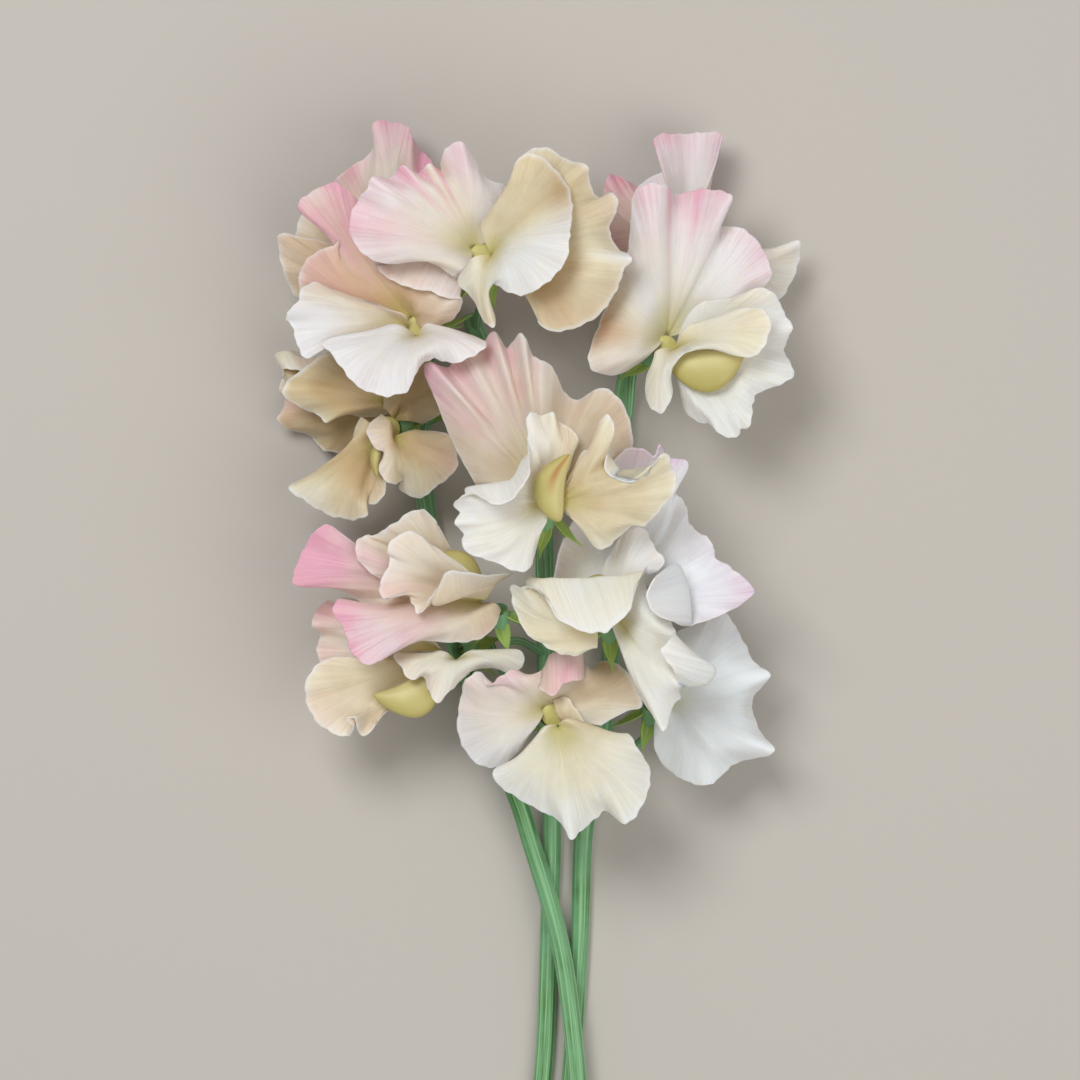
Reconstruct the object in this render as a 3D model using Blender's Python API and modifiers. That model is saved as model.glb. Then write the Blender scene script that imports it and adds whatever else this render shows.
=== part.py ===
"""Sweet pea flowers: three cut stems with thirteen ruffled blooms, lying face up on a table.

Everything is laid out in the bunch's own plan, in millimetres: x to the right, y toward the blooms,
z up from the table. A bloom has a standard petal at the back, two wings and a keel. Each stem grows
its flower stalks, calyces and sepals as one piece.
"""
import bpy
import bmesh
import numpy as np
from math import cos, pi, radians, sin
from mathutils import Matrix, Vector

COLLECTION = "sweet_pea_flower"
MM = 0.001
PLAN_ORIGIN = (-0.4, -34.6)         # plan point that the model's origin stands under
TABLE_LEVEL = 0.25                  # plan height of the table that the lowest points touch

# Petals
PETAL_THICKNESS = 0.6
PETAL_ROWS = (0.12, 0.3, 0.55, 0.8, 1.0)    # from claw to rim
RINGS = (0.0, 0.45, 0.8, 1.0)               # where a petal's shape is steered, from claw to rim
COLUMNS = (7, 15)                           # fewest and most strips across a petal
CLAW_HEIGHTS = {"standard": -3.0, "wing_back": -0.5, "wing_front": 3.0}     # over the bloom's heart
TURNED_HEIGHTS = {"standard": 4.4, "wing_back": -0.8, "wing_front": 1.6}    # in a bloom that looks down
TURNED_BLOOMS = ("bloom_11",)
CLAW_LIFTS = {"bloom_06_wing_front": 1.0, "bloom_04_wing_front": 1.0}       # petals whose claws stand higher
CLAW_STEP = 2.2                             # from the heart toward the petal's own side
BULGE = 3.5                                 # how far a petal's middle swells out, along its normal
OUTER_BULGE = 0.75                          # share of that swelling nearer the rim
FLAT_BULGES = {                             # petals that swell less, or the other way
    "bloom_07_standard": -3.0, "bloom_11_wing_back": -3.0, "bloom_11_wing_front": -3.0,
    "bloom_08_wing_front": 0.5, "bloom_08_wing_back": 1.5, "bloom_09_wing_back": 2.0}
SMOOTHING = (10, 3)                         # passes on the middle and outer ring of a petal
PLEATED = {                                 # petals whose folds run down toward the claw
    "bloom_06_standard": (1, 0),
    "bloom_12_standard": (2, 1),
    "bloom_02_standard": (3, 1),
    "bloom_13_standard": (2, 0),
    "bloom_01_standard": (3, 1),
}

# Keels
KEEL_WIDTH = 4.6
KEEL_BELLY = 0.4                            # share of its depth that its middle sags by
KEEL_ROUND = 0.5                            # and that it is round by
KEEL_FACES = (10, 6)                        # round it and along it

# Stems, stalks and calyces
STEM_RADIUS = 2.1
STALK_RADIUS = 0.95
STEM_RINGS = 22
STALK_RINGS = 7
STALK_OVERLAP = (1.5, 2.5)                  # from the calyx's foot into it and out behind it
CALYX_LENGTH = 6.0
CALYX_FOOT_RADIUS = 1.2
CALYX_MOUTH_RADIUS = 2.4
CALYX_SIDES = 9
CALYX_DIP = 35.0                            # how steeply it points down, in degrees
CALYX_BACK = 1.6                            # its mouth stands this far behind the heart
CALYX_BELOW = 3.4                           # and this far under it
SEPAL_LENGTH = 9.5
SEPAL_HALF_SIZE = (1.6, 0.9)                # across and through, at the root
SEPAL_TIP = 0.35                            # share of that size at the tip
SEPAL_COUNT = 5
SEPAL_SPREAD = (0.8, 0.75)                  # how much each points back, and outward
SEPAL_ROOT = (1.4, 0.45)                    # behind the mouth, and share of its radius
SEPAL_FLATNESS = 0.3                        # how far the ring of sepals opens up and down, against its width

# Clear space that the petals keep between them
LAYER_GAP = 1.9
CLAW_GAP_SHARE = 0.8                        # of that gap, for the parts nearest to a claw
CLAW_REACH = 0.35                           # share of a petal's length with the smaller gap
TABLE_GAP = 0.45
CELL = 0.5                                  # step of the plan grid that the gaps are measured on
CELL_STRIDE = 10000
LIFT_POINTS = 6                             # places across a petal where it can be lifted
LIFT_STIFFNESS = 4.0
SWEEPS = 60
CLOSE_ENOUGH = (0.02, 0.1)                  # a gap this short is left alone; the layering ends at this

# Colours
PETAL_COLOUR = (0.86, 0.74, 0.66)
KEEL_COLOUR = (0.74, 0.75, 0.38)
GREEN = (0.16, 0.33, 0.11)

# Each rim is a row of points (x, y, height over the heart) from one side of the petal to the other.
# A point of six numbers is a rolled edge: the free edge, then the fold that it rolls over.
# A keel is (base, tip, depth), its depth bulging to the right of the way from base to tip if positive.
BLOOMS = {
    "bloom_01": {
        "heart": (-34, 60, 14),
        "calyx": -50,
        "keel": ((-36, 60, 1), (-50, 64, 2), 7),
        "standard": [
            (-46, 66, -2), (-47, 79, 2), (-44, 83, 4), (-37.5, 88, 0), (-37.5, 94, 3), (-30, 93.5, -1),
            (-29, 91, 4), (-27, 88, -3), (-24, 84, 1), (-24, 72, -3)],
        "wing_back": [
            (-48, 58, -3), (-55, 64, -3), (-55, 70, -2), (-52.5, 74.5, -1), (-46, 75, -4), (-40, 70, -4)],
        "wing_front": [
            (-42, 51, 0), (-54, 54, 1), (-57.5, 60, 3), (-58.8, 66, 4), (-58, 69, 6), (-52, 67.5, 7),
            (-44, 66, 5)],
    },
    "bloom_02": {
        "heart": (-13, 63, 40),
        "calyx": -75,
        "keel": ((-10, 63, 1), (3, 66, 3), 7),
        "standard": [
            (-18.5, 58, 0), (-25, 62, 1), (-33, 61, 3), (-39, 63, 4), (-42.3, 69, 6), (-40.5, 74.5, 7),
            (-38, 78, 2), (-37.3, 80.5, 4), (-33, 80, -1), (-30.5, 83, 3), (-27, 81, -2), (-24.5, 83.5, 3),
            (-22, 81.5, -3), (-21.5, 85.5, 2), (-18, 88.3, 4), (-15, 85, 1), (-12, 80, -1), (-7, 78, -3),
            (-8, 70, -4)],
        "wing_back": [
            (-8, 76, -2), (-4.5, 84.5, 0), (-1, 86.7, 1), (2, 86.8, 0), (6, 84.3, -2), (10.5, 83, -1),
            (11, 79, -4), (13.5, 75.7, -5), (16, 77.2, -3), (17.4, 74, -2), (15.3, 69.5, -4), (17, 64.5, 0),
            (20.5, 62.5, 4), (18.5, 59.8, 3), (17.3, 56, 0), (13.5, 50.2, 0), (8.5, 47.2, 1),
            (3.5, 46.1, 2), (0, 47.5, 3), (-1.7, 52, 3), (-6, 58, 1)],
        "wing_front": [
            (-13, 70, 2), (-7, 78, 5), (-4.8, 84.3, 8), (0, 84.8, 7), (5, 80, 3), (7, 76, 2), (6.8, 69, 9),
            (5.5, 61, 13), (0, 55.2, 14), (-6, 54, 11), (-12, 57.8, 6), (-11.8, 53, 5), (-10, 49.5, 5),
            (-10.2, 46.8, 6), (-12.5, 48.5, 5), (-14.8, 53.5, 4), (-17.7, 56, 4), (-17.8, 58.5, 3),
            (-15.8, 60.5, 3)],
    },
    "bloom_03": {
        "heart": (-27, 47.5, 32),
        "calyx": -35,
        "keel": ((-30, 46, 2), (-43, 41, 4), -6),
        "standard": [
            (-42, 50, -5), (-52.5, 54, -3), (-53.5, 60, -1), (-50, 64, 2), (-44.5, 66.5, 3),
            (-46, 68.5, -3), (-54, 73.3, 0), (-51.5, 77.2, 1), (-46, 79.4, 2), (-41.5, 76.8, 3),
            (-39.5, 73, 0), (-37, 68, -3), (-36.5, 60.5, 3, -35.5, 65.5, 0), (-31.5, 57, 5, -29, 63.5, 2),
            (-24.5, 55, 6, -21.5, 61.5, 3), (-19.5, 53.3, 6, -17, 58.5, 4), (-17, 53.8, 4), (-19, 49.5, 1),
            (-22, 48, 0)],
        "wing_back": [
            (-32, 50, 1), (-38, 52.5, 2), (-44, 53, 2), (-47, 56, 1), (-50, 57.5, 0), (-53.3, 55.5, 1),
            (-53.7, 53, 4), (-56.3, 50.5, 3), (-56, 48.5, 6), (-54.5, 46, 7), (-53.3, 42, 8),
            (-51.5, 40, 9), (-49.5, 42, 7), (-46, 42.5, 5), (-37.5, 44, 3)],
        "wing_front": [
            (-36, 46, 5), (-48, 44.3, 8), (-46, 41, 10), (-43, 36.8, 11), (-38.5, 32.8, 12),
            (-33.5, 31.6, 13), (-29.5, 33, 13), (-27.5, 36.5, 11), (-25.5, 39.8, 9), (-21.5, 40, 11),
            (-18, 38.8, 13), (-15, 40.5, 13), (-12.2, 42.5, 12), (-12.3, 44.2, 9), (-17, 45.4, 7),
            (-23, 46.3, 4)],
    },
    "bloom_04": {
        "heart": (-31, 31, 14),
        "calyx": -20,
        "keel": ((-34, 32, 0.5), (-47, 35, 1), 6),
        "standard": [
            (-42, 38, -6), (-56, 38, -7), (-59, 34.5, -5), (-57.5, 31, -8), (-59.5, 27.5, -5),
            (-57.5, 25.2, -9), (-53, 24.2, -13.5), (-49, 20.5, -8), (-44.5, 20, -8), (-40, 21.5, -9),
            (-33, 24, -7)],
        "wing_back": [
            (-36, 40, -2), (-46, 44, -2), (-51.5, 38.3, 4, -53, 41.8, 1), (-55, 38.2, 5, -57.6, 42.5, 2),
            (-57.5, 38.5, 3, -59.4, 41, 0), (-57.5, 36, -2), (-50, 31, -4), (-41, 31, -4)],
        "wing_front": [
            (-38, 40, 2), (-47, 42.3, 3), (-53, 38.5, 4), (-57.7, 34.5, 6), (-57, 31.8, 6),
            (-52.5, 29.3, 5), (-49.5, 28, 6), (-48.2, 26.2, 7), (-46.8, 27.5, 5), (-45.5, 29, 2),
            (-40, 27.8, 0), (-35, 28.3, 0), (-31.5, 29.5, 0)],
    },
    "bloom_05": {
        "heart": (-34, 25, 24),
        "calyx": 20,
        "keel": ((-34.5, 23, 1), (-36.3, 14, 3), 3),
        "standard": [
            (-35, 29.5, -5), (-34.5, 37, -5), (-31, 42, -5), (-26, 41, -6), (-21.5, 37, -5),
            (-20, 30.5, -6), (-26.5, 26, -5)],
        "wing_back": [
            (-40, 27.5, -1), (-41.5, 24.5, 1), (-42, 20.8, 1), (-47, 17, 1), (-52, 14.2, 0),
            (-56.5, 11.8, 1), (-53.5, 9.3, 2), (-49.5, 6.8, 2), (-46, 5.2, 3), (-41.5, 4.5, 2),
            (-38.3, 5.6, 5), (-39.8, 8, 0), (-36.5, 8, 3), (-34.3, 11.5, 3), (-35.5, 17, 2)],
        "wing_front": [
            (-35.5, 28, 3), (-38.6, 25, 6), (-37.5, 21.2, 7), (-34.5, 19, 6), (-36, 16, 7),
            (-33.5, 12.2, 8), (-30.5, 13.5, 3), (-31.5, 11.3, 1), (-27, 9.2, 1), (-24.5, 11, 2),
            (-20.5, 14, 3), (-18.5, 16.5, 3), (-19.5, 23.3, 1), (-27, 24.4, 0)],
    },
    "bloom_06": {
        "heart": (2, 8, 48),
        "calyx": -100,
        "keel": ((3.6, 4, 2), (6.4, 18.8, 6), -7.5),
        "standard": [
            (-14, 12, -6), (-19.5, 22, -9), (-23, 31, -10), (-26, 38, -12), (-24, 39.5, -9),
            (-20.5, 38, -15), (-17, 42.5, -10), (-13.5, 42.5, -14), (-10, 46.8, -9), (-7.5, 42, -13),
            (-4, 46.5, -7), (-2, 41, -8), (0, 40, -5), (3, 38, -6), (5, 33, -8), (8.5, 30.8, -9),
            (13.5, 34, -6), (18, 31, -5), (20.5, 24, -6), (19.5, 17, -7), (10, 12, -6)],
        "wing_back": [
            (-0.8, 3, 2), (-1, -3, 4), (-4, -7.2, 7), (-10, -4.8, 8), (-15.5, -3, 8), (-17.2, -0.8, 9),
            (-16.5, 1.2, 7), (-19, 4, 9), (-17.8, 6, 7), (-18.6, 8.3, 9),
            (-14.5, 10.2, 13, -16.5, 11.4, 10), (-9.5, 7.4, 16, -10.5, 12, 12),
            (-5.5, 9.5, 16, -6.3, 13, 11), (-2, 16, 15, -4.2, 17, 10), (-3, 22, 6), (-2.2, 28, 6),
            (0, 27.3, 2), (2.6, 28.2, 5), (4, 26, 2), (7.3, 24.3, 3), (8.4, 21.5, 3), (6.5, 20.5, 0)],
        "wing_front": [
            (7.5, 6.5, 1), (11, 0, 3), (13.5, -2.3, 4), (16.5, 0, 3), (20.5, 3.5, 5), (23, 3, 5),
            (27, 7.5, 6), (30, 11.5, 7), (29, 16, 8), (27.2, 19.4, 11), (22.5, 13.4, 11, 23.3, 15.8, 9),
            (17.5, 13.1, 10, 18, 15.3, 7), (13.9, 15.8, 9, 15.9, 17.5, 6), (16.5, 24, 9), (14.5, 27.5, 10),
            (12.3, 24, 6), (12.3, 20, 4), (9.5, 19.5, 4), (8, 16.5, 4)],
    },
    "bloom_07": {
        "heart": (15, -17, 40),
        "calyx": -85,
        "keel": ((15, -14, 2), (8, -10.5, 6), 6),
        "standard": [
            (3, -9, -3), (5, 0, -5), (11, 10, -7), (18, 19.5, -6), (23, 20, -4), (25.5, 18.5, -6),
            (26.5, 21.3, -3), (28.2, 18.5, -6), (31.5, 18, -3), (33, 16, -2), (30, 11.5, -5), (32.3, 8, -2),
            (33.5, 3, -4), (38, 0, -1), (39, -4, -4), (43, -6.5, -1), (47.5, -11.5, 1), (41.5, -16, -2),
            (33, -19, 2), (29.5, -18, 10, 33.5, -18.5, 2), (25, -16, 12, 33, -15, 2),
            (23.4, -12, 12, 32.5, -11, 1), (25.5, -8, 11, 30, -5, 1), (25, -10, -4)],
        "wing_back": [
            (13, -10, 0), (14.5, -5, 1), (18, 1, 2), (20.5, 2.8, 3), (23.5, 2.3, 2), (25, -1.5, 3),
            (27.3, -4, 4), (26.5, -6.8, 5), (23.4, -6, 5), (22.8, -10, 4), (25.6, -14, 3), (29.5, -19.5, 6),
            (29.2, -21.3, 11, 34, -25, 8), (26.2, -25, 13, 38.2, -28, 9), (29.5, -28.6, 11, 36.5, -32, 8),
            (31, -34, 5), (29, -37, 4), (27.6, -42.3, 7), (25, -39, 4), (21.5, -33, 2), (19, -25, 1),
            (18, -20, 0)],
        "wing_front": [
            (20.8, -10.5, 10, 23, -6.8, 7), (19.8, -15.5, 12, 18, -8.2, 8), (16, -19.2, 13, 12.5, -8.9, 8),
            (10.5, -20.4, 14, 6, -9.3, 9), (4.6, -18, 14, 1, -9, 9), (1.3, -12.5, 12, -3, -8.4, 8),
            (-5.8, -9.5, 6), (-6.2, -13, 5), (-5, -17, 5), (-2, -21.3, 6), (3, -24.6, 6), (8, -25.3, 5),
            (12.5, -22.5, 3)],
    },
    "bloom_08": {
        "heart": (-10, -14, 34),
        "calyx": -75,
        "keel": ((-13, -11, 1), (-26, -5, 3), 7),
        "standard": [
            (-20, -9.5, -2), (-34, -5, -2), (-41, -5, -1), (-44, -1.5, 1), (-46.5, 3.3, 3), (-50, 2, 4),
            (-53, -3, 1), (-55, -9, 5), (-52, -10.4, 3), (-46, -10.6, -2), (-41, -13, -5),
            (-35.5, -17.5, -6), (-40, -15.5, -1), (-44.3, -13, 3), (-46, -15.5, 5), (-43.4, -20, 5),
            (-42, -24.5, 6), (-38, -27.7, 7), (-33, -25.3, 5), (-27, -22.2, 3), (-20, -22.8, 1),
            (-13.5, -22, 0), (-10, -19, -1), (-8.8, -15.5, -2)],
        "wing_back": [
            (-18, -5, 0), (-20.5, -2, 0), (-22.5, 3, 1), (-25, 6.3, 2), (-28, 6.7, 3), (-31.5, 4.5, 2),
            (-35, 2, 3), (-37.5, 0.7, 5), (-38.5, 1.3, 3), (-40.8, -0.5, 4), (-40.8, -3.5, 3), (-38, -7, 1),
            (-33, -9.5, 0), (-23, -12, 0)],
        "wing_front": [
            (-15, -7.5, 3), (-21, -3, 4), (-26, 0.5, 5), (-30.5, 1.8, 6), (-34, -1.8, 7), (-33, -4.5, 5),
            (-35.7, -10, 8), (-34, -13, 9), (-29.3, -12, 5), (-28.3, -14, 8), (-26.3, -16.2, 9),
            (-21.5, -8.3, 14, -23.5, -13.8, 11), (-19.5, -6.8, 14, -19, -11.8, 10),
            (-14, -7.6, 12, -14.5, -10.2, 8), (-6, -7.4, 8, -9, -9.2, 6)],
    },
    "bloom_09": {
        "heart": (-20, -25, 26),
        "calyx": 15,
        "keel": ((-22.5, -29, 1), (-37, -35, 2), -9.5),
        "standard": [
            (-26, -21, -3), (-38, -15, -3), (-43, -13, -2), (-46, -13.8, 0), (-48.5, -14, -3),
            (-51.3, -18.8, 1), (-49, -21, -3), (-50, -24.5, 1), (-48, -30.5, 3), (-46, -29, 0),
            (-42.5, -25, -3), (-32, -25.5, -3)],
        "wing_back": [
            (-30, -27, -1), (-37, -27.5, -1), (-44, -26, 0), (-49.5, -27.5, 1), (-52.4, -32, 1),
            (-51.8, -37.5, 1), (-48.5, -42, 2), (-43.5, -44, 3), (-41.7, -42, 6), (-43, -39.8, 8),
            (-41, -39.8, 7), (-40.5, -43, 5), (-38.3, -43.3, 4), (-36.4, -40.5, 3), (-34.5, -38.5, 1),
            (-31, -36, 0), (-26, -32, 0)],
        "wing_front": [
            (-25, -26.2, 4), (-32.7, -25.3, 5), (-31, -28, 7), (-28.5, -31.5, 8), (-26, -30.2, 5),
            (-24, -35, 9), (-22.3, -36, 9), (-19.5, -33, 7), (-16, -29.5, 5), (-13, -28.5, 4), (-9, -29, 4),
            (-6, -29.3, 4), (-3.5, -27.5, 3), (-4, -25, 2), (-7, -24.5, 2), (-13, -26, 2)],
    },
    "bloom_10": {
        "heart": (3, -39, 32),
        "calyx": -110,
        "keel": ((4.5, -42, 1), (11, -54, 2), 7),
        "standard": [
            (-2, -42.5, 0), (-4.5, -46.5, 1), (-8, -49.8, 1), (-12, -50.6, 0), (-16, -48, -1),
            (-18.5, -42, -2), (-17.5, -34.5, -2), (-16.5, -31, -1), (-13.2, -29.2, 0), (-11.8, -32.6, 4),
            (-7.5, -29.2, 5), (-4.5, -29.2, 4), (-1, -32.3, 4, 0.5, -29, 2), (2.8, -34.7, 6, 2.3, -26, 3),
            (5.5, -31.6, 6, 5.5, -24.6, 3), (9, -31.2, 5, 9, -24.2, 2), (11.3, -29, -4), (15, -27, -9),
            (20, -30, -5), (23, -37, -4), (19.8, -37.8, -2), (13.5, -41.3, 0)],
        "wing_back": [
            (3, -35.8, 0), (6, -35, 0), (8.5, -38.3, 0), (13, -44, -3), (18, -48, -3), (17, -54, -3),
            (9, -56, -4), (2, -49, -3)],
        "wing_front": [
            (0, -42.5, 2), (-1.5, -47, 3), (-5, -49.9, 4), (-9.5, -50.3, 5), (-10.3, -53, 6), (-7, -56, 5),
            (-1, -59.5, 6), (4.5, -62.2, 7), (6.8, -66.5, 9), (9, -64.4, 7), (12.5, -61.7, 5), (15, -60, 4),
            (19, -63.1, 8), (22.8, -58.8, 8), (24.5, -53, 6), (23.8, -49.5, 5), (21.8, -46.5, 7),
            (19.7, -43, 6), (18, -43.4, 3), (13, -41.8, 2), (8, -39.8, 2)],
    },
    "bloom_11": {
        "heart": (26, -36, 20),
        "calyx": -105,
        "keel": ((31.5, -38.5, -2.5), (40, -41, -5), 4),
        "standard": [
            (30, -21, -1), (36, -18.5, 1), (41.3, -16.3, 3), (45.5, -22.5, 0), (48, -27.5, 2),
            (51.5, -30.3, 5), (47.5, -36, -1), (49.3, -43, 1), (52.5, -47.5, 5), (44, -50, 0),
            (37.5, -55, 3), (30, -52.5, -1), (26, -47.5, 0), (25.8, -41, 0)],
        "wing_back": [
            (33, -43, -4), (33, -49, -6), (37, -51.5, -8), (43, -50, -10), (45, -45, -12), (40, -41, -9)],
        "wing_front": [
            (29, -27, -4), (34, -22, -6), (42, -24, -9), (45, -32, -8), (43, -36, -6)],
    },
    "bloom_12": {
        "heart": (28, 43, 30),
        "calyx": 215,
        "keel": ((28, 39.6, 3), (46, 44, 5), 10.5),
        "standard": [
            (22, 39.5, -1), (17, 36.8, 1), (12, 37.6, 3), (10.7, 40, 4), (12, 45, 2), (15.5, 54, 0),
            (19.5, 63.5, -1), (20.3, 71, 1), (21, 77.5, 4), (25, 79.3, 6), (28.6, 78.6, 3),
            (29.5, 77.3, -4), (33, 77.6, -2), (36, 78.3, 0), (41.5, 77.4, 3), (42.8, 75.8, 3),
            (40.2, 70.2, -4), (44, 70, -2), (48, 67.3, 0), (51.2, 61.5, 1), (50.5, 57, 0), (40, 49, -1)],
        "wing_back": [
            (32.5, 49.5, 2), (36, 52.9, 2), (43, 53.8, 2), (49.3, 56.3, 4), (53, 53.8, 2), (54.2, 50.7, 0),
            (56.3, 47.3, 3), (54.2, 42.5, -1), (56.7, 37.5, 2), (54.5, 35, 4), (48.5, 32.8, 1),
            (47.2, 29.5, 4), (46.8, 25.3, 5), (44.6, 24.6, 2), (43.8, 22.7, 5), (40, 23.4, 5),
            (38, 25.8, 3), (35.5, 26.3, 0), (32.5, 28.5, 0), (31, 34, 0)],
        "wing_front": [
            (36, 48.5, 7), (44, 51.2, 9), (49.5, 51.3, 10), (51.3, 48, 10), (50, 43.3, 11),
            (46.5, 40.2, 12), (42, 41.2, 11), (37, 42.9, 9), (32, 42.3, 7), (28.5, 37.5, 7),
            (29.6, 31.5, 8), (26.7, 27.8, 8), (23.8, 30.5, 6), (23.5, 35, 5), (25.5, 40.3, 4)],
    },
    "bloom_13": {
        "heart": (30, 62, 12),
        "calyx": -120,
        "keel": ((32, 61, 1), (46, 62, 0), 7),
        "standard": [
            (22, 74, -4), (22, 80, -3), (28.5, 84, -4), (27, 87.5, 2), (25.5, 90, 5), (28, 91.5, 3),
            (34, 91.8, -2), (40, 92, 1), (40.8, 90.5, 2), (39, 84, -5), (38, 74, -11.3)],
        "wing_back": [
            (24, 62, 1), (17, 64, 1), (14, 74, 1), (15, 81.5, 4), (17, 82.3, 0), (19, 81, 4), (22, 79.5, 0),
            (27, 72, -1)],
        "wing_front": [
            (46, 70, -2), (50, 64.6, 0), (54, 66, 1), (58.3, 67.5, 3), (58.7, 64, 0), (57, 59, -1),
            (53.5, 54, 0), (44, 53, -2)],
    },
}

# Petals and keels from the back of the bunch to the front: each passes over the ones before it
LAYERS = (
    "bloom_13_standard", "bloom_13_wing_back", "bloom_13_keel", "bloom_13_wing_front",
    "bloom_01_standard", "bloom_01_wing_back", "bloom_01_keel", "bloom_01_wing_front",
    "bloom_04_standard", "bloom_04_wing_back", "bloom_04_keel", "bloom_04_wing_front",
    "bloom_11_wing_back", "bloom_11_keel", "bloom_11_wing_front", "bloom_11_standard",
    "bloom_05_standard", "bloom_05_wing_back", "bloom_05_keel", "bloom_05_wing_front",
    "bloom_12_standard", "bloom_12_wing_back", "bloom_12_keel", "bloom_12_wing_front",
    "bloom_09_standard", "bloom_09_wing_back", "bloom_09_keel", "bloom_09_wing_front",
    "bloom_06_standard",
    "bloom_10_standard", "bloom_10_wing_back", "bloom_10_keel", "bloom_10_wing_front",
    "bloom_07_standard",
    "bloom_03_standard", "bloom_03_wing_back", "bloom_03_keel", "bloom_03_wing_front",
    "bloom_08_standard", "bloom_08_wing_back", "bloom_08_keel", "bloom_08_wing_front",
    "bloom_07_wing_back", "bloom_07_keel", "bloom_07_wing_front",
    "bloom_02_standard", "bloom_02_wing_back", "bloom_02_keel", "bloom_02_wing_front",
    "bloom_06_wing_back", "bloom_06_wing_front", "bloom_06_keel",
)
# This standard's rolled edge laps over the wing that its body passes under
LAPPED = {("bloom_07_standard", "bloom_07_wing_back")}

# Stems by their own route, and each flower stalk from the stem to the foot of its calyx
STEMS = {
    "stem_left": {
        "route": [
            (11, -160, 7), (9.5, -138, 7.2), (7.8, -115, 7.4), (4.4, -91, 7.4), (-2.2, -68, 7),
            (-6, -56.5, 6.5), (-14, -38, 5), (-22, -15, 4), (-26, 9, 4), (-27, 25, 4), (-26, 40, 4.5),
            (-26.5, 50, 5)],
        "stalks": {
            "bloom_01": [(-26.5, 48, 5), (-28, 52, 6)],
            "bloom_03": [(-26, 42, 4.5), (-23, 43.5, 15)],
            "bloom_04": [(-26.5, 20, 4), (-26, 26, 6)],
            "bloom_05": [(-26.5, 12, 4), (-27, 19, 10)],
        },
    },
    "stem_middle": {
        "route": [
            (-3, -158, 2.1), (-1, -138, 2.1), (1.1, -115, 2.1), (2, -90, 2.1), (2.6, -65, 2.1),
            (1.5, -40, 2.6), (1, -10, 4), (0, 10, 4), (-6, 30, 4), (-14, 46, 5), (-15.5, 51, 6)],
        "stalks": {
            "bloom_02": [(-14.5, 48, 5.5), (-13.5, 52, 18)],
            "bloom_06": [(1, -14, 4), (0.8, -6, 22)],
            "bloom_08": [(1.2, -26, 3), (-4, -23, 14)],
            "bloom_09": [(1.4, -40, 2.6), (-6, -34, 10)],
            "bloom_10": [(2.4, -60, 2.1), (2.2, -52, 12)],
        },
    },
    "stem_right": {
        "route": [
            (4, -163, 2.1), (5.8, -138, 2.1), (7.5, -115, 2.1), (9, -90, 2.1), (10, -65.5, 2.1),
            (14, -45, 2.6), (16, -25, 4), (17, 0, 4), (18, 20, 4), (19, 34, 5), (22, 46, 6)],
        "stalks": {
            "bloom_07": [(16, -32, 3.6), (15.5, -26, 16)],
            "bloom_11": [(12, -56, 2.3), (19, -49, 4)],
            "bloom_12": [(18, 18, 4), (20, 28, 14)],
            "bloom_13": [(20, 40, 5.5), (24, 50, 8)],
        },
    },
}


def ring_weights(t):
    """How much each steering ring pulls on the rows at t: a smooth curve through all the rings."""
    rings = np.array(RINGS)
    slopes = np.gradient(np.eye(len(rings)), rings, axis=0)
    first = np.clip(np.searchsorted(rings, t, "right") - 1, 0, len(rings) - 2)
    span = (rings[first + 1] - rings[first])[:, None]
    f = (t[:, None] - rings[first][:, None]) / span
    here, there = np.eye(len(rings))[first], np.eye(len(rings))[first + 1]
    return (
        (2 * f**3 - 3 * f**2 + 1) * here
        + (f**3 - 2 * f**2 + f) * span * slopes[first]
        + (3 * f**2 - 2 * f**3) * there
        + (f**3 - f**2) * span * slopes[first + 1])


def column_weights(s, count):
    """How much each of count points pulls on the columns at s from 0 to 1: a Catmull-Rom curve."""
    place = np.asarray(s) * (count - 1)
    first = np.clip(place.astype(int), 0, count - 2)
    f = place - first
    pulls = (
        -0.5 * f + f**2 - 0.5 * f**3,
        1 - 2.5 * f**2 + 1.5 * f**3,
        0.5 * f + 2 * f**2 - 1.5 * f**3,
        -0.5 * f**2 + 0.5 * f**3,
    )
    padded = np.zeros((len(place), count + 2))
    for step, pull in enumerate(pulls):
        padded[np.arange(len(place)), first + step] += pull
    weights = padded[:, 1:-1].copy()
    weights[:, 0] += 2 * padded[:, 0]
    weights[:, 1] -= padded[:, 0]
    weights[:, -1] += 2 * padded[:, -1]
    weights[:, -2] -= padded[:, -1]
    return weights


def eased(points, passes):
    """The row of points with its wiggles smoothed away, its ends kept."""
    points = points.copy()
    for _ in range(passes):
        points[1:-1] = 0.25 * points[:-2] + 0.5 * points[1:-1] + 0.25 * points[2:]
    return points


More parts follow.
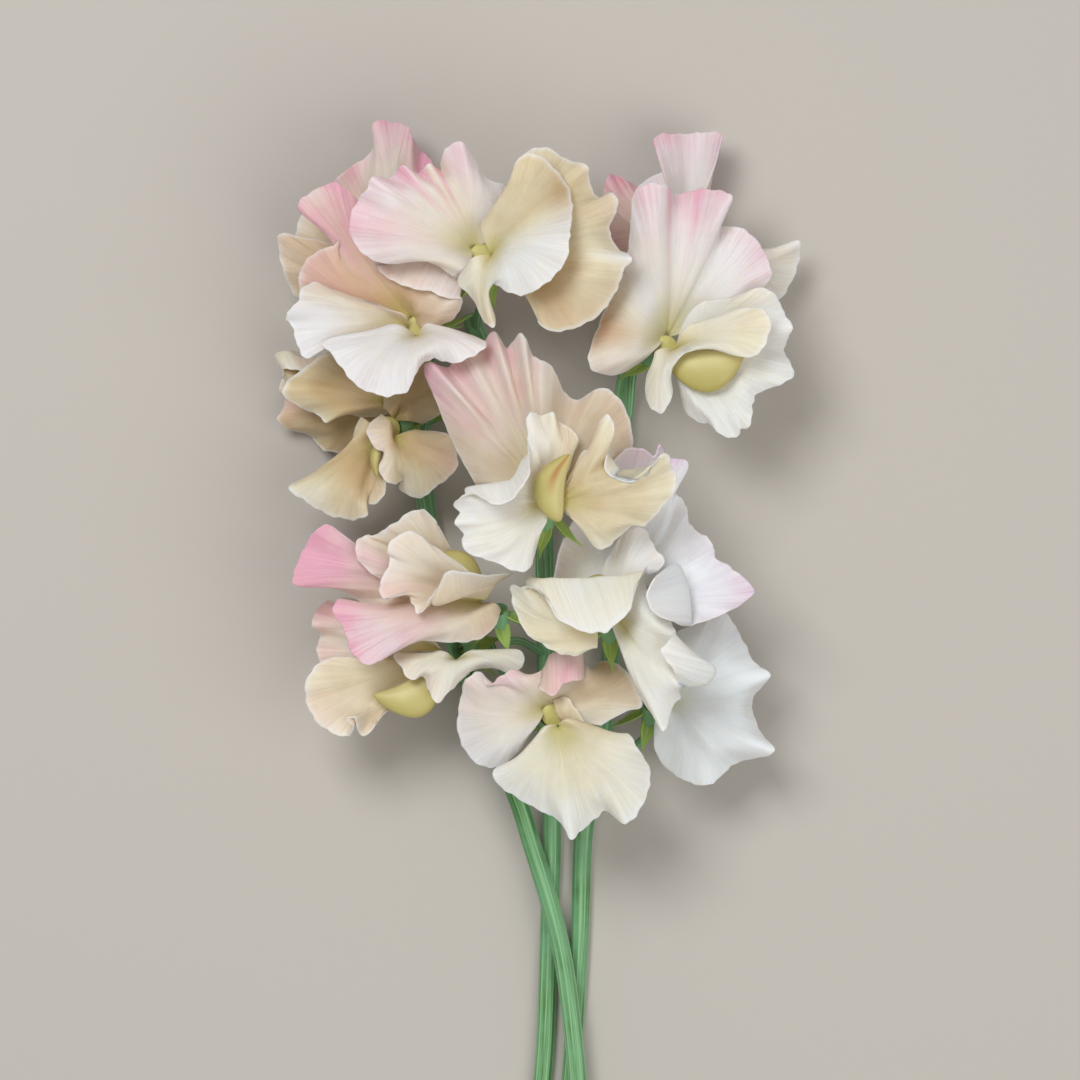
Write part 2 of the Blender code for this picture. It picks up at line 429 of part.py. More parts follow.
def petal_rings(bloom, petal):
    """The petal's steering points, ring by ring from claw to rim, and its mean normal."""
    heart = np.array(BLOOMS[bloom]["heart"], float)
    rim = np.array([point[:3] for point in BLOOMS[bloom][petal]], float) + (0, 0, heart[2])
    heights = TURNED_HEIGHTS if bloom in TURNED_BLOOMS else CLAW_HEIGHTS
    side = (rim - heart)[:, :2].mean(axis=0)
    step = CLAW_STEP * side / np.linalg.norm(side)
    claw = heart + (*step, heights[petal] + CLAW_LIFTS.get(f"{bloom}_{petal}", 0))
    reach = rim - claw
    normal = np.cross(reach[:-1], reach[1:]).sum(axis=0)
    normal /= np.linalg.norm(normal)
    if normal[2] < 0:
        normal = -normal
    folds = {}
    for i, point in enumerate(BLOOMS[bloom][petal]):
        if len(point) == 6:
            folds[i] = np.array(point[3:], float) + (0, 0, heart[2])
            reach[i] = (folds[i] - claw) / RINGS[2]
    mid_passes, outer_passes = PLEATED.get(f"{bloom}_{petal}", SMOOTHING)
    rise = normal * FLAT_BULGES.get(f"{bloom}_{petal}", BULGE)
    middle = claw + RINGS[1] * eased(reach, mid_passes) + rise
    outer = claw + RINGS[2] * eased(reach, outer_passes) + OUTER_BULGE * rise
    for i, fold in folds.items():
        outer[i] = fold
    return np.stack([np.broadcast_to(claw, rim.shape), middle, outer, rim]), normal


def petal_sheet(bloom, petal):
    """The petal as a grid of points, rows from claw to rim, with the weights that can lift it."""
    rings = petal_rings(bloom, petal)[0]
    columns = int(np.clip(rings.shape[1] - 1, *COLUMNS))
    s = np.linspace(0, 1, columns + 1)
    t = np.array(PETAL_ROWS)
    by_ring = ring_weights(t)
    points = np.einsum("tr,sk,rkc->tsc", by_ring, column_weights(s, rings.shape[1]), rings)
    lift = np.einsum("tr,sk->tsrk", by_ring[:, 1:], column_weights(s, LIFT_POINTS))
    rows, columns = points.shape[:2]
    return {
        "points": points.reshape(-1, 3),
        "lift": lift.reshape(rows * columns, -1),
        "reach": np.repeat(t, columns),
        "triangles": grid_triangles(rows, columns),
        "rows": rows,
    }


def grid_triangles(rows, columns):
    """The triangles of a grid of points, two to a square."""
    corner = (np.arange(rows - 1)[:, None] * columns + np.arange(columns - 1)).ravel()
    lower = np.stack([corner, corner + 1, corner + columns + 1], axis=1)
    upper = np.stack([corner, corner + columns + 1, corner + columns], axis=1)
    return np.concatenate([lower, upper])


def solid_body(mesh, may_lift):
    """A finished closed mesh, in plan millimetres, as a body for the layering."""
    bm = bmesh.new()
    bm.from_mesh(mesh)
    bmesh.ops.triangulate(bm, faces=bm.faces)
    points = np.array([vert.co[:] for vert in bm.verts]) / MM
    triangles = np.array([[vert.index for vert in face.verts] for face in bm.faces])
    bm.free()
    lift = np.ones((len(points), 1)) if may_lift else np.zeros((len(points), 0))
    return {"points": points, "lift": lift, "reach": np.ones(len(points)), "triangles": triangles}


def plan_cover(body):
    """Where the body covers the plan: cell numbers, heights, lift weights and reach at each."""
    cells, heights, lifts, reaches = [], [], [], []
    for triangle in body["triangles"]:
        corners = body["points"][triangle]
        low = np.floor(corners[:, :2].min(axis=0) / CELL).astype(int)
        high = np.ceil(corners[:, :2].max(axis=0) / CELL).astype(int)
        x, y = np.meshgrid(np.arange(low[0], high[0] + 1), np.arange(low[1], high[1] + 1))
        x, y = x.ravel(), y.ravel()
        edge_a = corners[1, :2] - corners[0, :2]
        edge_b = corners[2, :2] - corners[0, :2]
        area = edge_a[0] * edge_b[1] - edge_a[1] * edge_b[0]
        if abs(area) < 1e-6:
            continue
        dx, dy = x * CELL - corners[0, 0], y * CELL - corners[0, 1]
        share_a = (dx * edge_b[1] - dy * edge_b[0]) / area
        share_b = (edge_a[0] * dy - edge_a[1] * dx) / area
        shares = np.stack([1 - share_a - share_b, share_a, share_b], axis=1)
        inside = (shares > -0.02).all(axis=1)
        shares = shares[inside]
        cells.append(x[inside] * CELL_STRIDE + y[inside])
        heights.append(shares @ corners[:, 2])
        lifts.append(shares @ body["lift"][triangle])
        reaches.append(shares @ body["reach"][triangle])
    return [np.concatenate(part) for part in (cells, heights, lifts, reaches)]


def shared_cells(below, above):
    """Index pairs of the two covers' entries that stand over the same cell."""
    order = np.argsort(above[0], kind="stable")
    start = np.searchsorted(above[0][order], below[0], "left")
    stop = np.searchsorted(above[0][order], below[0], "right")
    count = stop - start
    first = np.repeat(np.arange(len(below[0])), count)
    offset = np.arange(count.sum()) - np.repeat(np.cumsum(count) - count, count)
    return first, order[np.repeat(start, count) + offset]


def nudge(lift, needs):
    """The smallest smooth change of the lift points that gives each entry the height it needs."""
    square = lift.T @ lift + LIFT_STIFFNESS * np.eye(lift.shape[1])
    return np.linalg.solve(square, lift.T @ needs)


def settle(bodies, stems):
    """Ease the petals up and down until each clears the ones that it passes over or under."""
    names = list(bodies)
    covers = {name: plan_cover(body) for name, body in {**bodies, **stems}.items()}
    moves = {name: np.zeros(covers[name][2].shape[1]) for name in covers}
    meetings = []
    for i, name in enumerate(names):
        for other in names[i + 1:]:
            lower, upper = shared_cells(covers[name], covers[other])
            if not len(lower):
                continue
            if (name, other) in LAPPED:
                over = covers[name][1][lower] > covers[other][1][upper]
                meetings.append((name, other, lower[~over], upper[~over]))
                meetings.append((other, name, upper[over], lower[over]))
            else:
                meetings.append((name, other, lower, upper))
        for other in stems:
            own, stem = shared_cells(covers[name], covers[other])
            if len(own):
                over = np.median(covers[name][1][own] - covers[other][1][stem]) > 0
                meetings.append((other, name, stem, own) if over else (name, other, own, stem))
    for _ in range(SWEEPS):
        worst = 0.0
        for lower, upper, i, j in meetings:
            low, high = covers[lower], covers[upper]
            reach = np.minimum(low[3][i], high[3][j])
            gap = LAYER_GAP * np.clip(reach / CLAW_REACH, CLAW_GAP_SHARE, 1.0)
            short = gap - (high[1][j] + high[2][j] @ moves[upper]) + (low[1][i] + low[2][i] @ moves[lower])
            tight = short > CLOSE_ENOUGH[0]
            if not tight.any():
                continue
            worst = max(worst, short[tight].max())
            i, j, short = i[tight], j[tight], short[tight]
            if moves[lower].size and moves[upper].size:
                short = short * 0.5
            if moves[lower].size:
                moves[lower] += nudge(low[2][i], -short)
            if moves[upper].size:
                moves[upper] += nudge(high[2][j], short)
        for name in names:
            cover = covers[name]
            sunk = TABLE_GAP - (cover[1] + cover[2] @ moves[name])
            low = sunk > CLOSE_ENOUGH[0] / 2
            if low.any():
                moves[name] += nudge(cover[2][low], sunk[low])
        if worst < CLOSE_ENOUGH[1]:
            break
    return moves


def new_object(name, mesh, material):
    """Link a mesh to the bunch's collection as a named object with its material."""
    obj = bpy.data.objects.new(name, mesh)
    bpy.data.collections[COLLECTION].objects.link(obj)
    mesh.materials.clear()
    mesh.materials.append(material)
    return obj


def plain_material(name, colour, roughness):
    """A Principled material with one colour."""
    material = bpy.data.materials.new(name)
    material.use_nodes = True
    shader = material.node_tree.nodes["Principled BSDF"]
    shader.inputs["Base Color"].default_value = (*colour, 1)
    shader.inputs["Roughness"].default_value = roughness
    shader.inputs["Metallic"].default_value = 0.0
    return material


def petal_mesh(name, sheet):
    """The petal's open surface: a grid whose points take their places in the bunch."""
    rows = sheet["rows"]
    columns = len(sheet["points"]) // rows
    bm = bmesh.new()
    bmesh.ops.create_grid(bm, x_segments=columns - 1, y_segments=rows - 1, size=1)
    bm.verts.ensure_lookup_table()
    for vert, point in zip(bm.verts, sheet["points"]):
        vert.co = Vector(point) * MM
    bmesh.ops.triangulate(bm, faces=bm.faces)
    mesh = bpy.data.meshes.new(name)
    bm.to_mesh(mesh)
    bm.free()
    return mesh


def keel_mesh(name, heart, keel):
    """The keel: a ball drawn out into a curved, flattened boat from base to tip."""
    base, tip, depth = Vector(keel[0][:2] + (0,)), Vector(keel[1][:2] + (0,)), keel[2]
    base.z, tip.z = keel[0][2], keel[1][2]
    along = tip - base
    across = Vector((along.y, -along.x, 0)).normalized()
    out = along.cross(across).normalized()
    bm = bmesh.new()
    bmesh.ops.create_uvsphere(bm, u_segments=KEEL_FACES[0], v_segments=KEEL_FACES[1], radius=1)
    for vert in bm.verts:
        x, y, z = vert.co
        place = (z + 1) / 2
        belly = depth * (KEEL_BELLY * (1 - z * z) + KEEL_ROUND * x)
        centre = Vector((0, 0, heart[2])) + base + along * place
        vert.co = (centre + across * belly + out * (KEEL_WIDTH / 2 * y)) * MM
    bm.normal_update()
    bmesh.ops.recalc_face_normals(bm, faces=bm.faces)
    mesh = bpy.data.meshes.new(name)
    bm.to_mesh(mesh)
    bm.free()
    return mesh


def tube_mesh(name, route, radius, samples):
    """A round tube along a smooth curve through the route's points, its ends closed."""
    places = np.linspace(0, 1, samples)
    points = column_weights(places, len(route)) @ np.array(route, float)
    curve = bpy.data.curves.new(name, "CURVE")
    curve.dimensions = "3D"
    curve.bevel_depth = radius * MM
    curve.bevel_resolution = 1
    curve.use_fill_caps = True
    spline = curve.splines.new("POLY")
    spline.points.add(samples - 1)
    for knot, point in zip(spline.points, points):
        knot.co = (*(point * MM), 1)
    source = bpy.data.objects.new(name, curve)
    bpy.context.scene.collection.objects.link(source)
    bpy.context.view_layer.update()
    shape = source.evaluated_get(bpy.context.evaluated_depsgraph_get())
    mesh = bpy.data.meshes.new_from_object(shape)
    bpy.data.objects.remove(source)
    bm = bmesh.new()
    bm.from_mesh(mesh)
    bmesh.ops.remove_doubles(bm, verts=bm.verts, dist=0.01 * MM)
    bmesh.ops.recalc_face_normals(bm, faces=bm.faces)
    bm.to_mesh(mesh)
    bm.free()
    return mesh


def calyx_frame(bloom):
    """The calyx's mouth and the way it points back from the petals."""
    heart = Vector(BLOOMS[bloom]["heart"])
    turn, dip = radians(BLOOMS[bloom]["calyx"]), radians(CALYX_DIP)
    back = Vector((cos(turn) * cos(dip), sin(turn) * cos(dip), -sin(dip)))
    mouth = heart + Vector((cos(turn), sin(turn), 0)) * CALYX_BACK - Vector((0, 0, CALYX_BELOW))
    return mouth, back


def calyx_pieces(bloom):
    """The calyx bell and its pointed sepals, each a closed mesh that runs into the bell."""
    mouth, back = calyx_frame(bloom)
    turn = back.to_track_quat("Z", "Y").to_matrix().to_4x4()
    pieces = []
    bm = bmesh.new()
    bmesh.ops.create_cone(
        bm, cap_ends=True, segments=CALYX_SIDES, radius1=CALYX_MOUTH_RADIUS * MM,
        radius2=CALYX_FOOT_RADIUS * MM, depth=CALYX_LENGTH * MM,
        matrix=Matrix.Translation((mouth + back * CALYX_LENGTH / 2) * MM) @ turn)
    pieces.append(bm)
    side = Vector((-back.y, back.x, 0)).normalized()
    over = side.cross(back)
    for i in range(SEPAL_COUNT):
        angle = 2 * pi * i / SEPAL_COUNT + pi / 2
        outward = side * cos(angle) - over * (SEPAL_FLATNESS * sin(angle))
        way = (back * SEPAL_SPREAD[0] + outward * SEPAL_SPREAD[1]).normalized()
        root = mouth + back * SEPAL_ROOT[0] + outward * (CALYX_MOUTH_RADIUS * SEPAL_ROOT[1])
        across = way.cross(outward).normalized()
        frame = Matrix((across, way.cross(across), way)).transposed().to_4x4()
        bm = bmesh.new()
        bmesh.ops.create_cone(
            bm, cap_ends=True, segments=6, radius1=MM, radius2=SEPAL_TIP * MM, depth=SEPAL_LENGTH * MM,
            matrix=Matrix.Translation((root + way * SEPAL_LENGTH / 2) * MM)
            @ frame @ Matrix.Diagonal((*SEPAL_HALF_SIZE, 1, 1)))
        pieces.append(bm)
    meshes = []
    for bm in pieces:
        mesh = bpy.data.meshes.new(bloom)
        bm.to_mesh(mesh)
        bm.free()
        meshes.append(mesh)
    return meshes


def stem_parts(stem):
    """The separate closed meshes of a stem: its own tube, then each bloom's stalk and calyx."""
    parts = {"": [tube_mesh(stem, STEMS[stem]["route"], STEM_RADIUS, STEM_RINGS)]}
    for bloom, route in STEMS[stem]["stalks"].items():
        mouth, back = calyx_frame(bloom)
        foot = mouth + back * (CALYX_LENGTH - STALK_OVERLAP[0])
        ahead = mouth + back * (CALYX_LENGTH + STALK_OVERLAP[1])
        stalk = tube_mesh(bloom, route + [tuple(ahead), tuple(foot)], STALK_RADIUS, STALK_RINGS)
        parts[bloom] = [stalk] + calyx_pieces(bloom)
    return parts


def fused(name, meshes, material):
    """One solid from overlapping closed meshes."""
    host = new_object(name, meshes[0], material)
    pieces = bpy.data.collections.new(f"{name}_pieces")
    bpy.context.scene.collection.children.link(pieces)
    for mesh in meshes[1:]:
        pieces.objects.link(bpy.data.objects.new(f"{name}_piece", mesh))
    union = host.modifiers.new("grown together", "BOOLEAN")
    union.operation = "UNION"
    union.operand_type = "COLLECTION"
    union.collection = pieces
    union.solver = "EXACT"
    bpy.context.view_layer.update()
    shape = host.evaluated_get(bpy.context.evaluated_depsgraph_get())
    mesh = bpy.data.meshes.new_from_object(shape)
    host.modifiers.clear()
    host.data = mesh
    for piece in list(pieces.objects):
        bpy.data.objects.remove(piece)
    bpy.data.collections.remove(pieces)
    return host


def build():
    """Make the whole bunch."""
    for obj in list(bpy.data.objects):
        bpy.data.objects.remove(obj)
    collection = bpy.data.collections.new(COLLECTION)
    bpy.context.scene.collection.children.link(collection)
    petal = plain_material("petal", PETAL_COLOUR, 0.55)
    keel = plain_material("keel", KEEL_COLOUR, 0.5)
    green = plain_material("stem green", GREEN, 0.5)

    bodies, meshes = {}, {}
    for name in LAYERS:
        bloom, part = name[:8], name[9:]
        if part == "keel":
            meshes[name] = keel_mesh(name, BLOOMS[bloom]["heart"], BLOOMS[bloom]["keel"])
            bodies[name] = solid_body(meshes[name], may_lift=True)
        else:
            bodies[name] = petal_sheet(bloom, part)
    grown = {stem: stem_parts(stem) for stem in STEMS}
    stem_bodies = {}
    for stem, parts in grown.items():
        for bloom, part in parts.items():
            for i, mesh in enumerate(part):
                stem_bodies[f"{stem}_{bloom}_{i}"] = solid_body(mesh, may_lift=False)
    moves = settle(bodies, stem_bodies)

    for name, body in bodies.items():
        body["points"][:, 2] += body["lift"] @ moves[name]
        if name in meshes:
            for vert, point in zip(meshes[name].vertices, body["points"]):
                vert.co = Vector(point) * MM
            obj = new_object(name, meshes[name], keel)
            obj.data.shade_smooth()
        else:
            obj = new_object(name, petal_mesh(name, body), petal)
            obj.data.shade_smooth()
            wall = obj.modifiers.new("petal thickness", "SOLIDIFY")
            wall.thickness = PETAL_THICKNESS * MM
            wall.offset = 0
    for stem, parts in grown.items():
        fused(stem, [mesh for part in parts.values() for mesh in part], green)

    shift = Matrix.Translation((-PLAN_ORIGIN[0] * MM, -PLAN_ORIGIN[1] * MM, -TABLE_LEVEL * MM))
    for obj in collection.objects:
        obj.data.transform(shift)


build()
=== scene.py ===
"""Dressing for the sweet pea bunch: fine ruffled petals, keels, ribbed stems, calyces and light.

The petals follow the same steering points and the same easing of layers as the part does, on a finer
grid. Lengths are in millimetres in the bunch's own plan (x right, y toward the blooms, z up) until a
piece is finished; each finished piece is in metres, in the part's frame.
"""
from math import cos, pi, radians, sin

import bmesh
import bpy
import numpy as np
from mathutils import Matrix, Vector


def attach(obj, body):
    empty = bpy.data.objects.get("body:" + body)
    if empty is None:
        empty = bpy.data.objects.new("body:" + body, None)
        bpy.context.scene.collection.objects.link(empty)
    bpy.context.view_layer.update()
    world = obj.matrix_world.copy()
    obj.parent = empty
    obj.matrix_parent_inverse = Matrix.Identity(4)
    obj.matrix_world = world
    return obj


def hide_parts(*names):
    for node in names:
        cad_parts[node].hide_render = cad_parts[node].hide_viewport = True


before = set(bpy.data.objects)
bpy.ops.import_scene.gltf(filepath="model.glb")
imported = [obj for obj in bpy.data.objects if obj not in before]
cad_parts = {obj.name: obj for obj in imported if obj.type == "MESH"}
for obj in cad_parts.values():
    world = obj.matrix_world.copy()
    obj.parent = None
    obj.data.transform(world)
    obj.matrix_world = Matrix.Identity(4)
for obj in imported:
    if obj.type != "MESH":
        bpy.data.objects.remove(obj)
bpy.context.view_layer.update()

MM = 0.001

PLAN_ORIGIN = (-0.4, -34.6)         # plan point that the model's origin stands under
TABLE_LEVEL = 0.25                  # plan height of the table that the lowest points touch

# Petals
PETAL_ROWS = (0.12, 0.3, 0.55, 0.8, 1.0)    # from claw to rim
RINGS = (0.0, 0.45, 0.8, 1.0)               # where a petal's shape is steered, from claw to rim
COLUMNS = (7, 15)                           # fewest and most strips across a petal
CLAW_HEIGHTS = {"standard": -3.0, "wing_back": -0.5, "wing_front": 3.0}     # over the bloom's heart
TURNED_HEIGHTS = {"standard": 4.4, "wing_back": -0.8, "wing_front": 1.6}    # in a bloom that looks down
TURNED_BLOOMS = ("bloom_11",)
CLAW_LIFTS = {"bloom_06_wing_front": 1.0, "bloom_04_wing_front": 1.0}       # petals whose claws stand higher
CLAW_STEP = 2.2                             # from the heart toward the petal's own side
BULGE = 3.5                                 # how far a petal's middle swells out, along its normal
OUTER_BULGE = 0.75                          # share of that swelling nearer the rim
FLAT_BULGES = {                             # petals that swell less, or the other way
    "bloom_07_standard": -3.0, "bloom_11_wing_back": -3.0, "bloom_11_wing_front": -3.0,
    "bloom_08_wing_front": 0.5, "bloom_08_wing_back": 1.5, "bloom_09_wing_back": 2.0}
SMOOTHING = (10, 3)                         # passes on the middle and outer ring of a petal
PLEATED = {                                 # petals whose folds run down toward the claw
    "bloom_06_standard": (1, 0),
    "bloom_12_standard": (2, 1),
    "bloom_02_standard": (3, 1),
    "bloom_13_standard": (2, 0),
    "bloom_01_standard": (3, 1),
}

# Keels
KEEL_WIDTH = 4.6
KEEL_BELLY = 0.4                            # share of its depth that its middle sags by
KEEL_ROUND = 0.5                            # and that it is round by
KEEL_FACES = (10, 6)                        # round it and along it

# Stems, stalks and calyces
STEM_RADIUS = 2.1
STALK_RADIUS = 0.95
STEM_RINGS = 22
STALK_RINGS = 7
STALK_OVERLAP = (1.5, 2.5)                  # from the calyx's foot into it and out behind it
CALYX_LENGTH = 6.0
CALYX_FOOT_RADIUS = 1.2
CALYX_MOUTH_RADIUS = 2.4
CALYX_SIDES = 9
CALYX_DIP = 35.0                            # how steeply it points down, in degrees
CALYX_BACK = 1.6                            # its mouth stands this far behind the heart
CALYX_BELOW = 3.4                           # and this far under it
SEPAL_LENGTH = 9.5
SEPAL_HALF_SIZE = (1.6, 0.9)                # across and through, at the root
SEPAL_TIP = 0.35                            # share of that size at the tip
SEPAL_COUNT = 5
SEPAL_SPREAD = (0.8, 0.75)                  # how much each points back, and outward
SEPAL_ROOT = (1.4, 0.45)                    # behind the mouth, and share of its radius
SEPAL_FLATNESS = 0.3                        # how far the ring of sepals opens up and down, against its width

# Clear space that the petals keep between them
LAYER_GAP = 1.9
CLAW_GAP_SHARE = 0.8                        # of that gap, for the parts nearest to a claw
CLAW_REACH = 0.35                           # share of a petal's length with the smaller gap
TABLE_GAP = 0.45
CELL = 0.5                                  # step of the plan grid that the gaps are measured on
CELL_STRIDE = 10000
LIFT_POINTS = 6                             # places across a petal where it can be lifted
LIFT_STIFFNESS = 4.0
SWEEPS = 60
CLOSE_ENOUGH = (0.02, 0.1)                  # a gap this short is left alone; the layering ends at this


